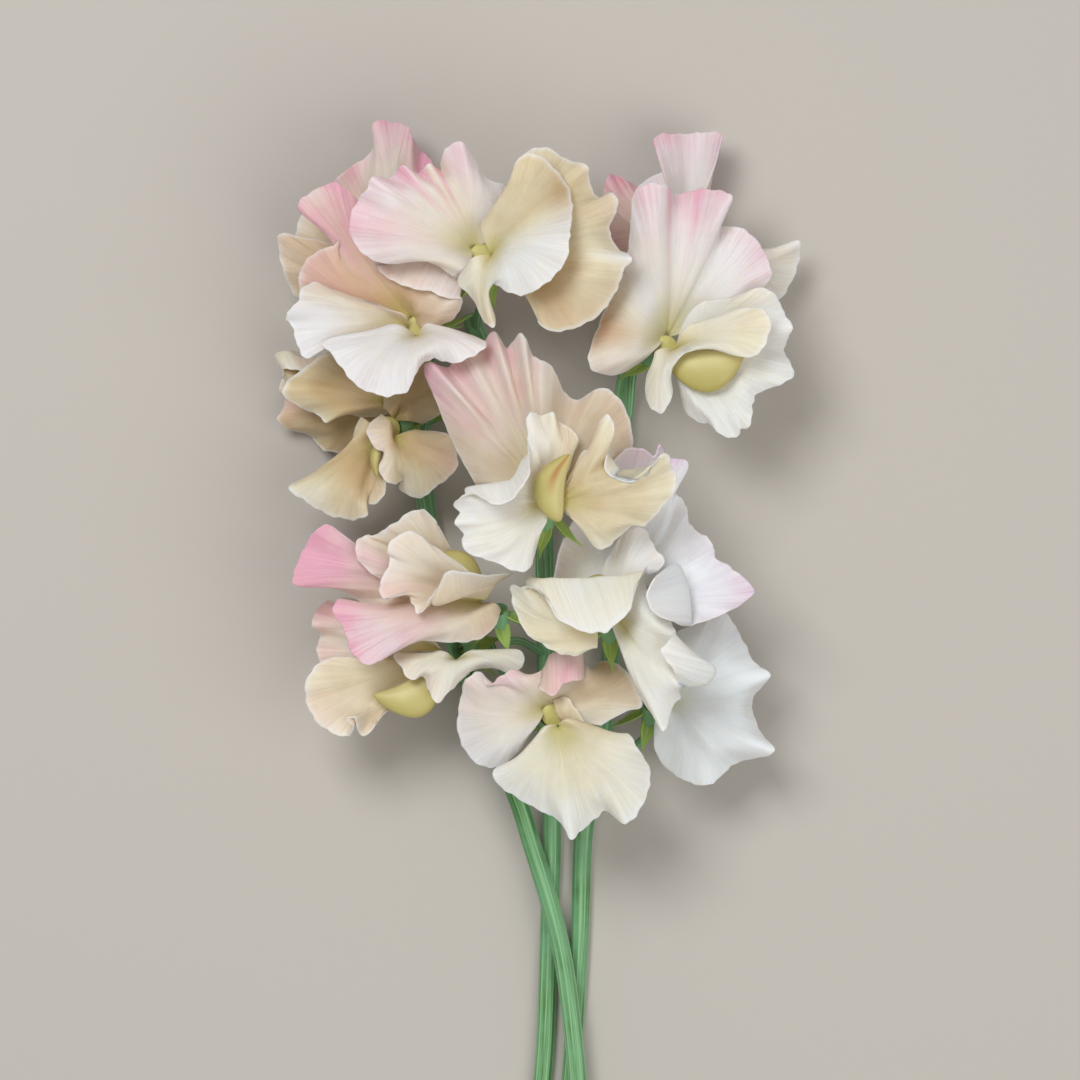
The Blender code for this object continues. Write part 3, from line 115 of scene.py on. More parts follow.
# Each rim is a row of points (x, y, height over the heart) from one side of the petal to the other.
# A point of six numbers is a rolled edge: the free edge, then the fold that it rolls over.
# A keel is (base, tip, depth), its depth bulging to the right of the way from base to tip if positive.
BLOOMS = {
    "bloom_01": {
        "heart": (-34, 60, 14),
        "calyx": -50,
        "keel": ((-36, 60, 1), (-50, 64, 2), 7),
        "standard": [
            (-46, 66, -2), (-47, 79, 2), (-44, 83, 4), (-37.5, 88, 0), (-37.5, 94, 3), (-30, 93.5, -1),
            (-29, 91, 4), (-27, 88, -3), (-24, 84, 1), (-24, 72, -3)],
        "wing_back": [
            (-48, 58, -3), (-55, 64, -3), (-55, 70, -2), (-52.5, 74.5, -1), (-46, 75, -4), (-40, 70, -4)],
        "wing_front": [
            (-42, 51, 0), (-54, 54, 1), (-57.5, 60, 3), (-58.8, 66, 4), (-58, 69, 6), (-52, 67.5, 7),
            (-44, 66, 5)],
    },
    "bloom_02": {
        "heart": (-13, 63, 40),
        "calyx": -75,
        "keel": ((-10, 63, 1), (3, 66, 3), 7),
        "standard": [
            (-18.5, 58, 0), (-25, 62, 1), (-33, 61, 3), (-39, 63, 4), (-42.3, 69, 6), (-40.5, 74.5, 7),
            (-38, 78, 2), (-37.3, 80.5, 4), (-33, 80, -1), (-30.5, 83, 3), (-27, 81, -2), (-24.5, 83.5, 3),
            (-22, 81.5, -3), (-21.5, 85.5, 2), (-18, 88.3, 4), (-15, 85, 1), (-12, 80, -1), (-7, 78, -3),
            (-8, 70, -4)],
        "wing_back": [
            (-8, 76, -2), (-4.5, 84.5, 0), (-1, 86.7, 1), (2, 86.8, 0), (6, 84.3, -2), (10.5, 83, -1),
            (11, 79, -4), (13.5, 75.7, -5), (16, 77.2, -3), (17.4, 74, -2), (15.3, 69.5, -4), (17, 64.5, 0),
            (20.5, 62.5, 4), (18.5, 59.8, 3), (17.3, 56, 0), (13.5, 50.2, 0), (8.5, 47.2, 1),
            (3.5, 46.1, 2), (0, 47.5, 3), (-1.7, 52, 3), (-6, 58, 1)],
        "wing_front": [
            (-13, 70, 2), (-7, 78, 5), (-4.8, 84.3, 8), (0, 84.8, 7), (5, 80, 3), (7, 76, 2), (6.8, 69, 9),
            (5.5, 61, 13), (0, 55.2, 14), (-6, 54, 11), (-12, 57.8, 6), (-11.8, 53, 5), (-10, 49.5, 5),
            (-10.2, 46.8, 6), (-12.5, 48.5, 5), (-14.8, 53.5, 4), (-17.7, 56, 4), (-17.8, 58.5, 3),
            (-15.8, 60.5, 3)],
    },
    "bloom_03": {
        "heart": (-27, 47.5, 32),
        "calyx": -35,
        "keel": ((-30, 46, 2), (-43, 41, 4), -6),
        "standard": [
            (-42, 50, -5), (-52.5, 54, -3), (-53.5, 60, -1), (-50, 64, 2), (-44.5, 66.5, 3),
            (-46, 68.5, -3), (-54, 73.3, 0), (-51.5, 77.2, 1), (-46, 79.4, 2), (-41.5, 76.8, 3),
            (-39.5, 73, 0), (-37, 68, -3), (-36.5, 60.5, 3, -35.5, 65.5, 0), (-31.5, 57, 5, -29, 63.5, 2),
            (-24.5, 55, 6, -21.5, 61.5, 3), (-19.5, 53.3, 6, -17, 58.5, 4), (-17, 53.8, 4), (-19, 49.5, 1),
            (-22, 48, 0)],
        "wing_back": [
            (-32, 50, 1), (-38, 52.5, 2), (-44, 53, 2), (-47, 56, 1), (-50, 57.5, 0), (-53.3, 55.5, 1),
            (-53.7, 53, 4), (-56.3, 50.5, 3), (-56, 48.5, 6), (-54.5, 46, 7), (-53.3, 42, 8),
            (-51.5, 40, 9), (-49.5, 42, 7), (-46, 42.5, 5), (-37.5, 44, 3)],
        "wing_front": [
            (-36, 46, 5), (-48, 44.3, 8), (-46, 41, 10), (-43, 36.8, 11), (-38.5, 32.8, 12),
            (-33.5, 31.6, 13), (-29.5, 33, 13), (-27.5, 36.5, 11), (-25.5, 39.8, 9), (-21.5, 40, 11),
            (-18, 38.8, 13), (-15, 40.5, 13), (-12.2, 42.5, 12), (-12.3, 44.2, 9), (-17, 45.4, 7),
            (-23, 46.3, 4)],
    },
    "bloom_04": {
        "heart": (-31, 31, 14),
        "calyx": -20,
        "keel": ((-34, 32, 0.5), (-47, 35, 1), 6),
        "standard": [
            (-42, 38, -6), (-56, 38, -7), (-59, 34.5, -5), (-57.5, 31, -8), (-59.5, 27.5, -5),
            (-57.5, 25.2, -9), (-53, 24.2, -13.5), (-49, 20.5, -8), (-44.5, 20, -8), (-40, 21.5, -9),
            (-33, 24, -7)],
        "wing_back": [
            (-36, 40, -2), (-46, 44, -2), (-51.5, 38.3, 4, -53, 41.8, 1), (-55, 38.2, 5, -57.6, 42.5, 2),
            (-57.5, 38.5, 3, -59.4, 41, 0), (-57.5, 36, -2), (-50, 31, -4), (-41, 31, -4)],
        "wing_front": [
            (-38, 40, 2), (-47, 42.3, 3), (-53, 38.5, 4), (-57.7, 34.5, 6), (-57, 31.8, 6),
            (-52.5, 29.3, 5), (-49.5, 28, 6), (-48.2, 26.2, 7), (-46.8, 27.5, 5), (-45.5, 29, 2),
            (-40, 27.8, 0), (-35, 28.3, 0), (-31.5, 29.5, 0)],
    },
    "bloom_05": {
        "heart": (-34, 25, 24),
        "calyx": 20,
        "keel": ((-34.5, 23, 1), (-36.3, 14, 3), 3),
        "standard": [
            (-35, 29.5, -5), (-34.5, 37, -5), (-31, 42, -5), (-26, 41, -6), (-21.5, 37, -5),
            (-20, 30.5, -6), (-26.5, 26, -5)],
        "wing_back": [
            (-40, 27.5, -1), (-41.5, 24.5, 1), (-42, 20.8, 1), (-47, 17, 1), (-52, 14.2, 0),
            (-56.5, 11.8, 1), (-53.5, 9.3, 2), (-49.5, 6.8, 2), (-46, 5.2, 3), (-41.5, 4.5, 2),
            (-38.3, 5.6, 5), (-39.8, 8, 0), (-36.5, 8, 3), (-34.3, 11.5, 3), (-35.5, 17, 2)],
        "wing_front": [
            (-35.5, 28, 3), (-38.6, 25, 6), (-37.5, 21.2, 7), (-34.5, 19, 6), (-36, 16, 7),
            (-33.5, 12.2, 8), (-30.5, 13.5, 3), (-31.5, 11.3, 1), (-27, 9.2, 1), (-24.5, 11, 2),
            (-20.5, 14, 3), (-18.5, 16.5, 3), (-19.5, 23.3, 1), (-27, 24.4, 0)],
    },
    "bloom_06": {
        "heart": (2, 8, 48),
        "calyx": -100,
        "keel": ((3.6, 4, 2), (6.4, 18.8, 6), -7.5),
        "standard": [
            (-14, 12, -6), (-19.5, 22, -9), (-23, 31, -10), (-26, 38, -12), (-24, 39.5, -9),
            (-20.5, 38, -15), (-17, 42.5, -10), (-13.5, 42.5, -14), (-10, 46.8, -9), (-7.5, 42, -13),
            (-4, 46.5, -7), (-2, 41, -8), (0, 40, -5), (3, 38, -6), (5, 33, -8), (8.5, 30.8, -9),
            (13.5, 34, -6), (18, 31, -5), (20.5, 24, -6), (19.5, 17, -7), (10, 12, -6)],
        "wing_back": [
            (-0.8, 3, 2), (-1, -3, 4), (-4, -7.2, 7), (-10, -4.8, 8), (-15.5, -3, 8), (-17.2, -0.8, 9),
            (-16.5, 1.2, 7), (-19, 4, 9), (-17.8, 6, 7), (-18.6, 8.3, 9),
            (-14.5, 10.2, 13, -16.5, 11.4, 10), (-9.5, 7.4, 16, -10.5, 12, 12),
            (-5.5, 9.5, 16, -6.3, 13, 11), (-2, 16, 15, -4.2, 17, 10), (-3, 22, 6), (-2.2, 28, 6),
            (0, 27.3, 2), (2.6, 28.2, 5), (4, 26, 2), (7.3, 24.3, 3), (8.4, 21.5, 3), (6.5, 20.5, 0)],
        "wing_front": [
            (7.5, 6.5, 1), (11, 0, 3), (13.5, -2.3, 4), (16.5, 0, 3), (20.5, 3.5, 5), (23, 3, 5),
            (27, 7.5, 6), (30, 11.5, 7), (29, 16, 8), (27.2, 19.4, 11), (22.5, 13.4, 11, 23.3, 15.8, 9),
            (17.5, 13.1, 10, 18, 15.3, 7), (13.9, 15.8, 9, 15.9, 17.5, 6), (16.5, 24, 9), (14.5, 27.5, 10),
            (12.3, 24, 6), (12.3, 20, 4), (9.5, 19.5, 4), (8, 16.5, 4)],
    },
    "bloom_07": {
        "heart": (15, -17, 40),
        "calyx": -85,
        "keel": ((15, -14, 2), (8, -10.5, 6), 6),
        "standard": [
            (3, -9, -3), (5, 0, -5), (11, 10, -7), (18, 19.5, -6), (23, 20, -4), (25.5, 18.5, -6),
            (26.5, 21.3, -3), (28.2, 18.5, -6), (31.5, 18, -3), (33, 16, -2), (30, 11.5, -5), (32.3, 8, -2),
            (33.5, 3, -4), (38, 0, -1), (39, -4, -4), (43, -6.5, -1), (47.5, -11.5, 1), (41.5, -16, -2),
            (33, -19, 2), (29.5, -18, 10, 33.5, -18.5, 2), (25, -16, 12, 33, -15, 2),
            (23.4, -12, 12, 32.5, -11, 1), (25.5, -8, 11, 30, -5, 1), (25, -10, -4)],
        "wing_back": [
            (13, -10, 0), (14.5, -5, 1), (18, 1, 2), (20.5, 2.8, 3), (23.5, 2.3, 2), (25, -1.5, 3),
            (27.3, -4, 4), (26.5, -6.8, 5), (23.4, -6, 5), (22.8, -10, 4), (25.6, -14, 3), (29.5, -19.5, 6),
            (29.2, -21.3, 11, 34, -25, 8), (26.2, -25, 13, 38.2, -28, 9), (29.5, -28.6, 11, 36.5, -32, 8),
            (31, -34, 5), (29, -37, 4), (27.6, -42.3, 7), (25, -39, 4), (21.5, -33, 2), (19, -25, 1),
            (18, -20, 0)],
        "wing_front": [
            (20.8, -10.5, 10, 23, -6.8, 7), (19.8, -15.5, 12, 18, -8.2, 8), (16, -19.2, 13, 12.5, -8.9, 8),
            (10.5, -20.4, 14, 6, -9.3, 9), (4.6, -18, 14, 1, -9, 9), (1.3, -12.5, 12, -3, -8.4, 8),
            (-5.8, -9.5, 6), (-6.2, -13, 5), (-5, -17, 5), (-2, -21.3, 6), (3, -24.6, 6), (8, -25.3, 5),
            (12.5, -22.5, 3)],
    },
    "bloom_08": {
        "heart": (-10, -14, 34),
        "calyx": -75,
        "keel": ((-13, -11, 1), (-26, -5, 3), 7),
        "standard": [
            (-20, -9.5, -2), (-34, -5, -2), (-41, -5, -1), (-44, -1.5, 1), (-46.5, 3.3, 3), (-50, 2, 4),
            (-53, -3, 1), (-55, -9, 5), (-52, -10.4, 3), (-46, -10.6, -2), (-41, -13, -5),
            (-35.5, -17.5, -6), (-40, -15.5, -1), (-44.3, -13, 3), (-46, -15.5, 5), (-43.4, -20, 5),
            (-42, -24.5, 6), (-38, -27.7, 7), (-33, -25.3, 5), (-27, -22.2, 3), (-20, -22.8, 1),
            (-13.5, -22, 0), (-10, -19, -1), (-8.8, -15.5, -2)],
        "wing_back": [
            (-18, -5, 0), (-20.5, -2, 0), (-22.5, 3, 1), (-25, 6.3, 2), (-28, 6.7, 3), (-31.5, 4.5, 2),
            (-35, 2, 3), (-37.5, 0.7, 5), (-38.5, 1.3, 3), (-40.8, -0.5, 4), (-40.8, -3.5, 3), (-38, -7, 1),
            (-33, -9.5, 0), (-23, -12, 0)],
        "wing_front": [
            (-15, -7.5, 3), (-21, -3, 4), (-26, 0.5, 5), (-30.5, 1.8, 6), (-34, -1.8, 7), (-33, -4.5, 5),
            (-35.7, -10, 8), (-34, -13, 9), (-29.3, -12, 5), (-28.3, -14, 8), (-26.3, -16.2, 9),
            (-21.5, -8.3, 14, -23.5, -13.8, 11), (-19.5, -6.8, 14, -19, -11.8, 10),
            (-14, -7.6, 12, -14.5, -10.2, 8), (-6, -7.4, 8, -9, -9.2, 6)],
    },
    "bloom_09": {
        "heart": (-20, -25, 26),
        "calyx": 15,
        "keel": ((-22.5, -29, 1), (-37, -35, 2), -9.5),
        "standard": [
            (-26, -21, -3), (-38, -15, -3), (-43, -13, -2), (-46, -13.8, 0), (-48.5, -14, -3),
            (-51.3, -18.8, 1), (-49, -21, -3), (-50, -24.5, 1), (-48, -30.5, 3), (-46, -29, 0),
            (-42.5, -25, -3), (-32, -25.5, -3)],
        "wing_back": [
            (-30, -27, -1), (-37, -27.5, -1), (-44, -26, 0), (-49.5, -27.5, 1), (-52.4, -32, 1),
            (-51.8, -37.5, 1), (-48.5, -42, 2), (-43.5, -44, 3), (-41.7, -42, 6), (-43, -39.8, 8),
            (-41, -39.8, 7), (-40.5, -43, 5), (-38.3, -43.3, 4), (-36.4, -40.5, 3), (-34.5, -38.5, 1),
            (-31, -36, 0), (-26, -32, 0)],
        "wing_front": [
            (-25, -26.2, 4), (-32.7, -25.3, 5), (-31, -28, 7), (-28.5, -31.5, 8), (-26, -30.2, 5),
            (-24, -35, 9), (-22.3, -36, 9), (-19.5, -33, 7), (-16, -29.5, 5), (-13, -28.5, 4), (-9, -29, 4),
            (-6, -29.3, 4), (-3.5, -27.5, 3), (-4, -25, 2), (-7, -24.5, 2), (-13, -26, 2)],
    },
    "bloom_10": {
        "heart": (3, -39, 32),
        "calyx": -110,
        "keel": ((4.5, -42, 1), (11, -54, 2), 7),
        "standard": [
            (-2, -42.5, 0), (-4.5, -46.5, 1), (-8, -49.8, 1), (-12, -50.6, 0), (-16, -48, -1),
            (-18.5, -42, -2), (-17.5, -34.5, -2), (-16.5, -31, -1), (-13.2, -29.2, 0), (-11.8, -32.6, 4),
            (-7.5, -29.2, 5), (-4.5, -29.2, 4), (-1, -32.3, 4, 0.5, -29, 2), (2.8, -34.7, 6, 2.3, -26, 3),
            (5.5, -31.6, 6, 5.5, -24.6, 3), (9, -31.2, 5, 9, -24.2, 2), (11.3, -29, -4), (15, -27, -9),
            (20, -30, -5), (23, -37, -4), (19.8, -37.8, -2), (13.5, -41.3, 0)],
        "wing_back": [
            (3, -35.8, 0), (6, -35, 0), (8.5, -38.3, 0), (13, -44, -3), (18, -48, -3), (17, -54, -3),
            (9, -56, -4), (2, -49, -3)],
        "wing_front": [
            (0, -42.5, 2), (-1.5, -47, 3), (-5, -49.9, 4), (-9.5, -50.3, 5), (-10.3, -53, 6), (-7, -56, 5),
            (-1, -59.5, 6), (4.5, -62.2, 7), (6.8, -66.5, 9), (9, -64.4, 7), (12.5, -61.7, 5), (15, -60, 4),
            (19, -63.1, 8), (22.8, -58.8, 8), (24.5, -53, 6), (23.8, -49.5, 5), (21.8, -46.5, 7),
            (19.7, -43, 6), (18, -43.4, 3), (13, -41.8, 2), (8, -39.8, 2)],
    },
    "bloom_11": {
        "heart": (26, -36, 20),
        "calyx": -105,
        "keel": ((31.5, -38.5, -2.5), (40, -41, -5), 4),
        "standard": [
            (30, -21, -1), (36, -18.5, 1), (41.3, -16.3, 3), (45.5, -22.5, 0), (48, -27.5, 2),
            (51.5, -30.3, 5), (47.5, -36, -1), (49.3, -43, 1), (52.5, -47.5, 5), (44, -50, 0),
            (37.5, -55, 3), (30, -52.5, -1), (26, -47.5, 0), (25.8, -41, 0)],
        "wing_back": [
            (33, -43, -4), (33, -49, -6), (37, -51.5, -8), (43, -50, -10), (45, -45, -12), (40, -41, -9)],
        "wing_front": [
            (29, -27, -4), (34, -22, -6), (42, -24, -9), (45, -32, -8), (43, -36, -6)],
    },
    "bloom_12": {
        "heart": (28, 43, 30),
        "calyx": 215,
        "keel": ((28, 39.6, 3), (46, 44, 5), 10.5),
        "standard": [
            (22, 39.5, -1), (17, 36.8, 1), (12, 37.6, 3), (10.7, 40, 4), (12, 45, 2), (15.5, 54, 0),
            (19.5, 63.5, -1), (20.3, 71, 1), (21, 77.5, 4), (25, 79.3, 6), (28.6, 78.6, 3),
            (29.5, 77.3, -4), (33, 77.6, -2), (36, 78.3, 0), (41.5, 77.4, 3), (42.8, 75.8, 3),
            (40.2, 70.2, -4), (44, 70, -2), (48, 67.3, 0), (51.2, 61.5, 1), (50.5, 57, 0), (40, 49, -1)],
        "wing_back": [
            (32.5, 49.5, 2), (36, 52.9, 2), (43, 53.8, 2), (49.3, 56.3, 4), (53, 53.8, 2), (54.2, 50.7, 0),
            (56.3, 47.3, 3), (54.2, 42.5, -1), (56.7, 37.5, 2), (54.5, 35, 4), (48.5, 32.8, 1),
            (47.2, 29.5, 4), (46.8, 25.3, 5), (44.6, 24.6, 2), (43.8, 22.7, 5), (40, 23.4, 5),
            (38, 25.8, 3), (35.5, 26.3, 0), (32.5, 28.5, 0), (31, 34, 0)],
        "wing_front": [
            (36, 48.5, 7), (44, 51.2, 9), (49.5, 51.3, 10), (51.3, 48, 10), (50, 43.3, 11),
            (46.5, 40.2, 12), (42, 41.2, 11), (37, 42.9, 9), (32, 42.3, 7), (28.5, 37.5, 7),
            (29.6, 31.5, 8), (26.7, 27.8, 8), (23.8, 30.5, 6), (23.5, 35, 5), (25.5, 40.3, 4)],
    },
    "bloom_13": {
        "heart": (30, 62, 12),
        "calyx": -120,
        "keel": ((32, 61, 1), (46, 62, 0), 7),
        "standard": [
            (22, 74, -4), (22, 80, -3), (28.5, 84, -4), (27, 87.5, 2), (25.5, 90, 5), (28, 91.5, 3),
            (34, 91.8, -2), (40, 92, 1), (40.8, 90.5, 2), (39, 84, -5), (38, 74, -11.3)],
        "wing_back": [
            (24, 62, 1), (17, 64, 1), (14, 74, 1), (15, 81.5, 4), (17, 82.3, 0), (19, 81, 4), (22, 79.5, 0),
            (27, 72, -1)],
        "wing_front": [
            (46, 70, -2), (50, 64.6, 0), (54, 66, 1), (58.3, 67.5, 3), (58.7, 64, 0), (57, 59, -1),
            (53.5, 54, 0), (44, 53, -2)],
    },
}

# Petals and keels from the back of the bunch to the front: each passes over the ones before it
WHOLE = ("standard", "wing_back", "keel", "wing_front")
LAYERS = tuple(
    f"{bloom}_{part}" for bloom, parts in (
        ("bloom_13", WHOLE), ("bloom_01", WHOLE), ("bloom_04", WHOLE),
        ("bloom_11", ("wing_back", "keel", "wing_front", "standard")),
        ("bloom_05", WHOLE), ("bloom_12", WHOLE), ("bloom_09", WHOLE), ("bloom_06", ("standard",)),
        ("bloom_10", WHOLE), ("bloom_07", ("standard",)), ("bloom_03", WHOLE), ("bloom_08", WHOLE),
        ("bloom_07", ("wing_back", "keel", "wing_front")), ("bloom_02", WHOLE),
        ("bloom_06", ("wing_back", "wing_front", "keel")),
    ) for part in parts)
# This standard's rolled edge laps over the wing that its body passes under
LAPPED = {("bloom_07_standard", "bloom_07_wing_back")}

# Stems by their own route, and each flower stalk from the stem to the foot of its calyx
STEMS = {
    "stem_left": {
        "route": [
            (11, -160, 7), (9.5, -138, 7.2), (7.8, -115, 7.4), (4.4, -91, 7.4), (-2.2, -68, 7),
            (-6, -56.5, 6.5), (-14, -38, 5), (-22, -15, 4), (-26, 9, 4), (-27, 25, 4), (-26, 40, 4.5),
            (-26.5, 50, 5)],
        "stalks": {
            "bloom_01": [(-26.5, 48, 5), (-28, 52, 6)],
            "bloom_03": [(-26, 42, 4.5), (-23, 43.5, 15)],
            "bloom_04": [(-26.5, 20, 4), (-26, 26, 6)],
            "bloom_05": [(-26.5, 12, 4), (-27, 19, 10)],
        },
    },
    "stem_middle": {
        "route": [
            (-3, -158, 2.1), (-1, -138, 2.1), (1.1, -115, 2.1), (2, -90, 2.1), (2.6, -65, 2.1),
            (1.5, -40, 2.6), (1, -10, 4), (0, 10, 4), (-6, 30, 4), (-14, 46, 5), (-15.5, 51, 6)],
        "stalks": {
            "bloom_02": [(-14.5, 48, 5.5), (-13.5, 52, 18)],
            "bloom_06": [(1, -14, 4), (0.8, -6, 22)],
            "bloom_08": [(1.2, -26, 3), (-4, -23, 14)],
            "bloom_09": [(1.4, -40, 2.6), (-6, -34, 10)],
            "bloom_10": [(2.4, -60, 2.1), (2.2, -52, 12)],
        },
    },
    "stem_right": {
        "route": [
            (4, -163, 2.1), (5.8, -138, 2.1), (7.5, -115, 2.1), (9, -90, 2.1), (10, -65.5, 2.1),
            (14, -45, 2.6), (16, -25, 4), (17, 0, 4), (18, 20, 4), (19, 34, 5), (22, 46, 6)],
        "stalks": {
            "bloom_07": [(16, -32, 3.6), (15.5, -26, 16)],
            "bloom_11": [(12, -56, 2.3), (19, -49, 4)],
            "bloom_12": [(18, 18, 4), (20, 28, 14)],
            "bloom_13": [(20, 40, 5.5), (24, 50, 8)],
        },
    },
}

# Fine petals
COLUMNS_PER_POINT = 7                       # strips across a fine petal to one point of its rim
FINE_COLUMNS = (48, 132)                    # fewest and most strips across a fine petal
FINE_ROWS = 36
ROW_SPREAD = 1.45                           # how much closer the rows stand at the rim
CLAW_START = 0.03                           # share of the way from claw to rim where the tissue starts
FINE_WALL = 0.34                            # thickness of a petal
COMMON_ROUNDING = 1.0                       # how far a rim's corners are rounded off
ROUNDING = {
    "bloom_06_standard": 2.0, "bloom_02_standard": 1.4, "bloom_12_wing_front": 1.6, "bloom_11_standard": 0.6}
RUFFLES = ((13.0, 0.38, 3.0), (6.5, 0.26, 4.5), (3.4, 0.12, 6.0))   # wave length, height, how near the rim
SCALLOPS = ((4.3, 0.16), (2.6, 0.10))       # wave length and depth of the rim's small scallops
SCALLOP_REACH = 7                           # how near the rim the scallops stay
RUFFLE_DRIFT = (1.3, 2.7)                   # how far waves crowd and spread, and over how many wave lengths
SCALLOP_DRIFT = (1.9, 2.3)
END_FADE = 0.3                              # how soon both waves die out at the rim's two ends
SPOT_FADE = 1.2                             # how a spot of colour grows from its start to the rim
RIM_PINK = (0.6, 2.0)                       # where a petal's own pink starts, and how it grows
OWN_WARMTH_AND_SHADING = (-1.0, 0.0)                    # its own warmth and painted shading is the same all over,
CLAW_WARMTH_AND_SHADING = (0.12, 0.3, 3)                # but for a little more at the claw and less at the rim
CLAW_TINT = (0.46, 1.3)                     # how far the claw's green-gold reaches, and how it fades
RIM_HIGHLIGHT = (0.965, 0.03)                   # where the painted highlight along the rim starts, and its width

# Fine keels and hearts
FINE_KEEL = (33, 41)                        # rings along it, points round it
KEEL_SHARPNESS = 0.38                       # share of its thickness that it loses toward its tip
STREAKED_KEEL = "bloom_06_keel"             # the open bloom whose keel shows its brown streak
STREAK_START = 0.35                         # along the keel, and as long again to full strength
STREAK_ACROSS = (-0.1, 0.32)                # middle and width of the streak, round the keel
CREST_PALENESS_AND_HIGHLIGHT = (0.15, 0.85, 1.5)          # at the belly, more at the crest, partly a painted highlight on its upper side, how it grows
HEART_RADII = (2.7, 2.7, 0.5)               # of the claws grown together at a bloom's heart
HEART_GRID = (17, 25)                       # rings from top to bottom, points round it
HEART_DROP = 1.6                            # under the point that the petals spring from
HIDDEN_HEARTS = ("bloom_08", "bloom_09")    # behind their petals

# Fine stems, calyces and sepals
STEM_GRID = (180, 28)                       # rings along it, points round it
STALK_GRID = (40, 14)
STEM_RIBS = (5, 0.035)                      # how many, and how high against the radius
CUT_ROUNDING = (0.9, 0.1, 0.12)             # radius of the last ring, and the steps past the stem's end
STEEPEST = 0.05                             # a tube this near upright takes a fixed side
BELL_SIDES = 24
BELL_PROFILE = ((1.2, 2.45), (2.8, 2.3), (4.4, 1.8), (5.6, 1.3), (6.2, 1.0))    # depth and radius
LEAF_HALF_WIDTH = 1.75                      # of a sepal
LEAF_WALL = 0.35
LEAF_GRID = (25, 13)                        # rows along it, points across it
LEAF_CURLS = (0.22, 0.1)                    # of every other sepal's tip, against its length
LEAF_FOLD = (0.4, 1.3)                      # how deep a sepal folds along its middle, and how sharply
LEAF_RIB = (0.16, 0.8)                      # width and strength of the pale line along that fold
WELD = 0.01                                 # points nearer than this become one
UV_SIZE = 100                               # millimetres to one unit of a piece's UV map

# Framing and light
CAMERA_HEIGHT = 1.5                         # over the level of the petals, in metres
PETAL_LEVEL = 0.035                         # which is this far over the table
FRAME_WIDTH = 240.0                         # of the view at that level
SENSOR_WIDTH = 36
FLOOR_SIZE = 2.0
FLOOR_COLOUR = (0.52, 0.50, 0.47)
LIGHTS = {                                  # place, aim, size, power, colour
    "key light": ((-0.3, 0.42, 1.0), (0, 0.02, 0.02), 0.42, 6.9, (1.0, 0.985, 0.965)),
    "fill light": ((0.45, -0.3, 0.9), (0, 0, 0.02), 0.9, 4.8, (1.0, 0.96, 0.92)),
}
ROOM_LIGHT = ((1.0, 0.96, 0.91), 0.28)

# Petal finishes: white, cream, tan as painted shade, claw, rim tint, vein shade
PETAL_COLOURS = {
    "cream": (
        (0.92, 0.91, 0.85), (0.90, 0.80, 0.60), (0.58, 0.42, 0.24), (0.60, 0.55, 0.12), (0.87, 0.46, 0.50),
        (0.84, 0.80, 0.74)),
    "blush": (
        (0.93, 0.89, 0.88), (0.89, 0.76, 0.61), (0.62, 0.41, 0.26), (0.62, 0.56, 0.14), (0.88, 0.40, 0.54),
        (0.84, 0.79, 0.77)),
    # Whiter blooms whose bluish cast is painted light: the cool tinge of the light on their lit faces
    "cool lit white": (
        (0.95, 1.0, 1.0), (0.88, 0.84, 0.76), (0.62, 0.50, 0.38), (0.66, 0.72, 0.30), (0.82, 0.52, 0.72),
        (0.86, 0.90, 0.92)),
}
FINISHES = {
    "blush": ("bloom_01", "bloom_03", "bloom_08", "bloom_13", "bloom_12_standard", "bloom_06_standard",
              "bloom_02_standard", "bloom_10_standard"),
    # These blooms take the cool white, its bluish cast painted light
    "cool lit white": ("bloom_11", "bloom_07_standard"),
}
# Keel: deep, light, streak, heart; deep and light are darkened as painted shade of the wings over the keels.
# Greens: deep, light, waxy bloom
KEEL_COLOURS = ((0.42, 0.37, 0.10), (0.62, 0.57, 0.27), (0.40, 0.17, 0.03), (0.60, 0.56, 0.20))
STEM_COLOURS = ((0.07, 0.21, 0.06), (0.28, 0.56, 0.28), (0.24, 0.52, 0.30))
SEPAL_COLOURS = ((0.20, 0.36, 0.05), (0.46, 0.62, 0.16), (0.34, 0.54, 0.16))
PITH_COLOUR = (0.52, 0.60, 0.30)
# Painted highlight: the pale line along each petal's rim
RIM_HIGHLIGHT_COLOUR = (0.97, 0.96, 0.93)
VEIN_LINES = {"petal": 220.0, "keel": 9.0}  # to one unit of the UV map
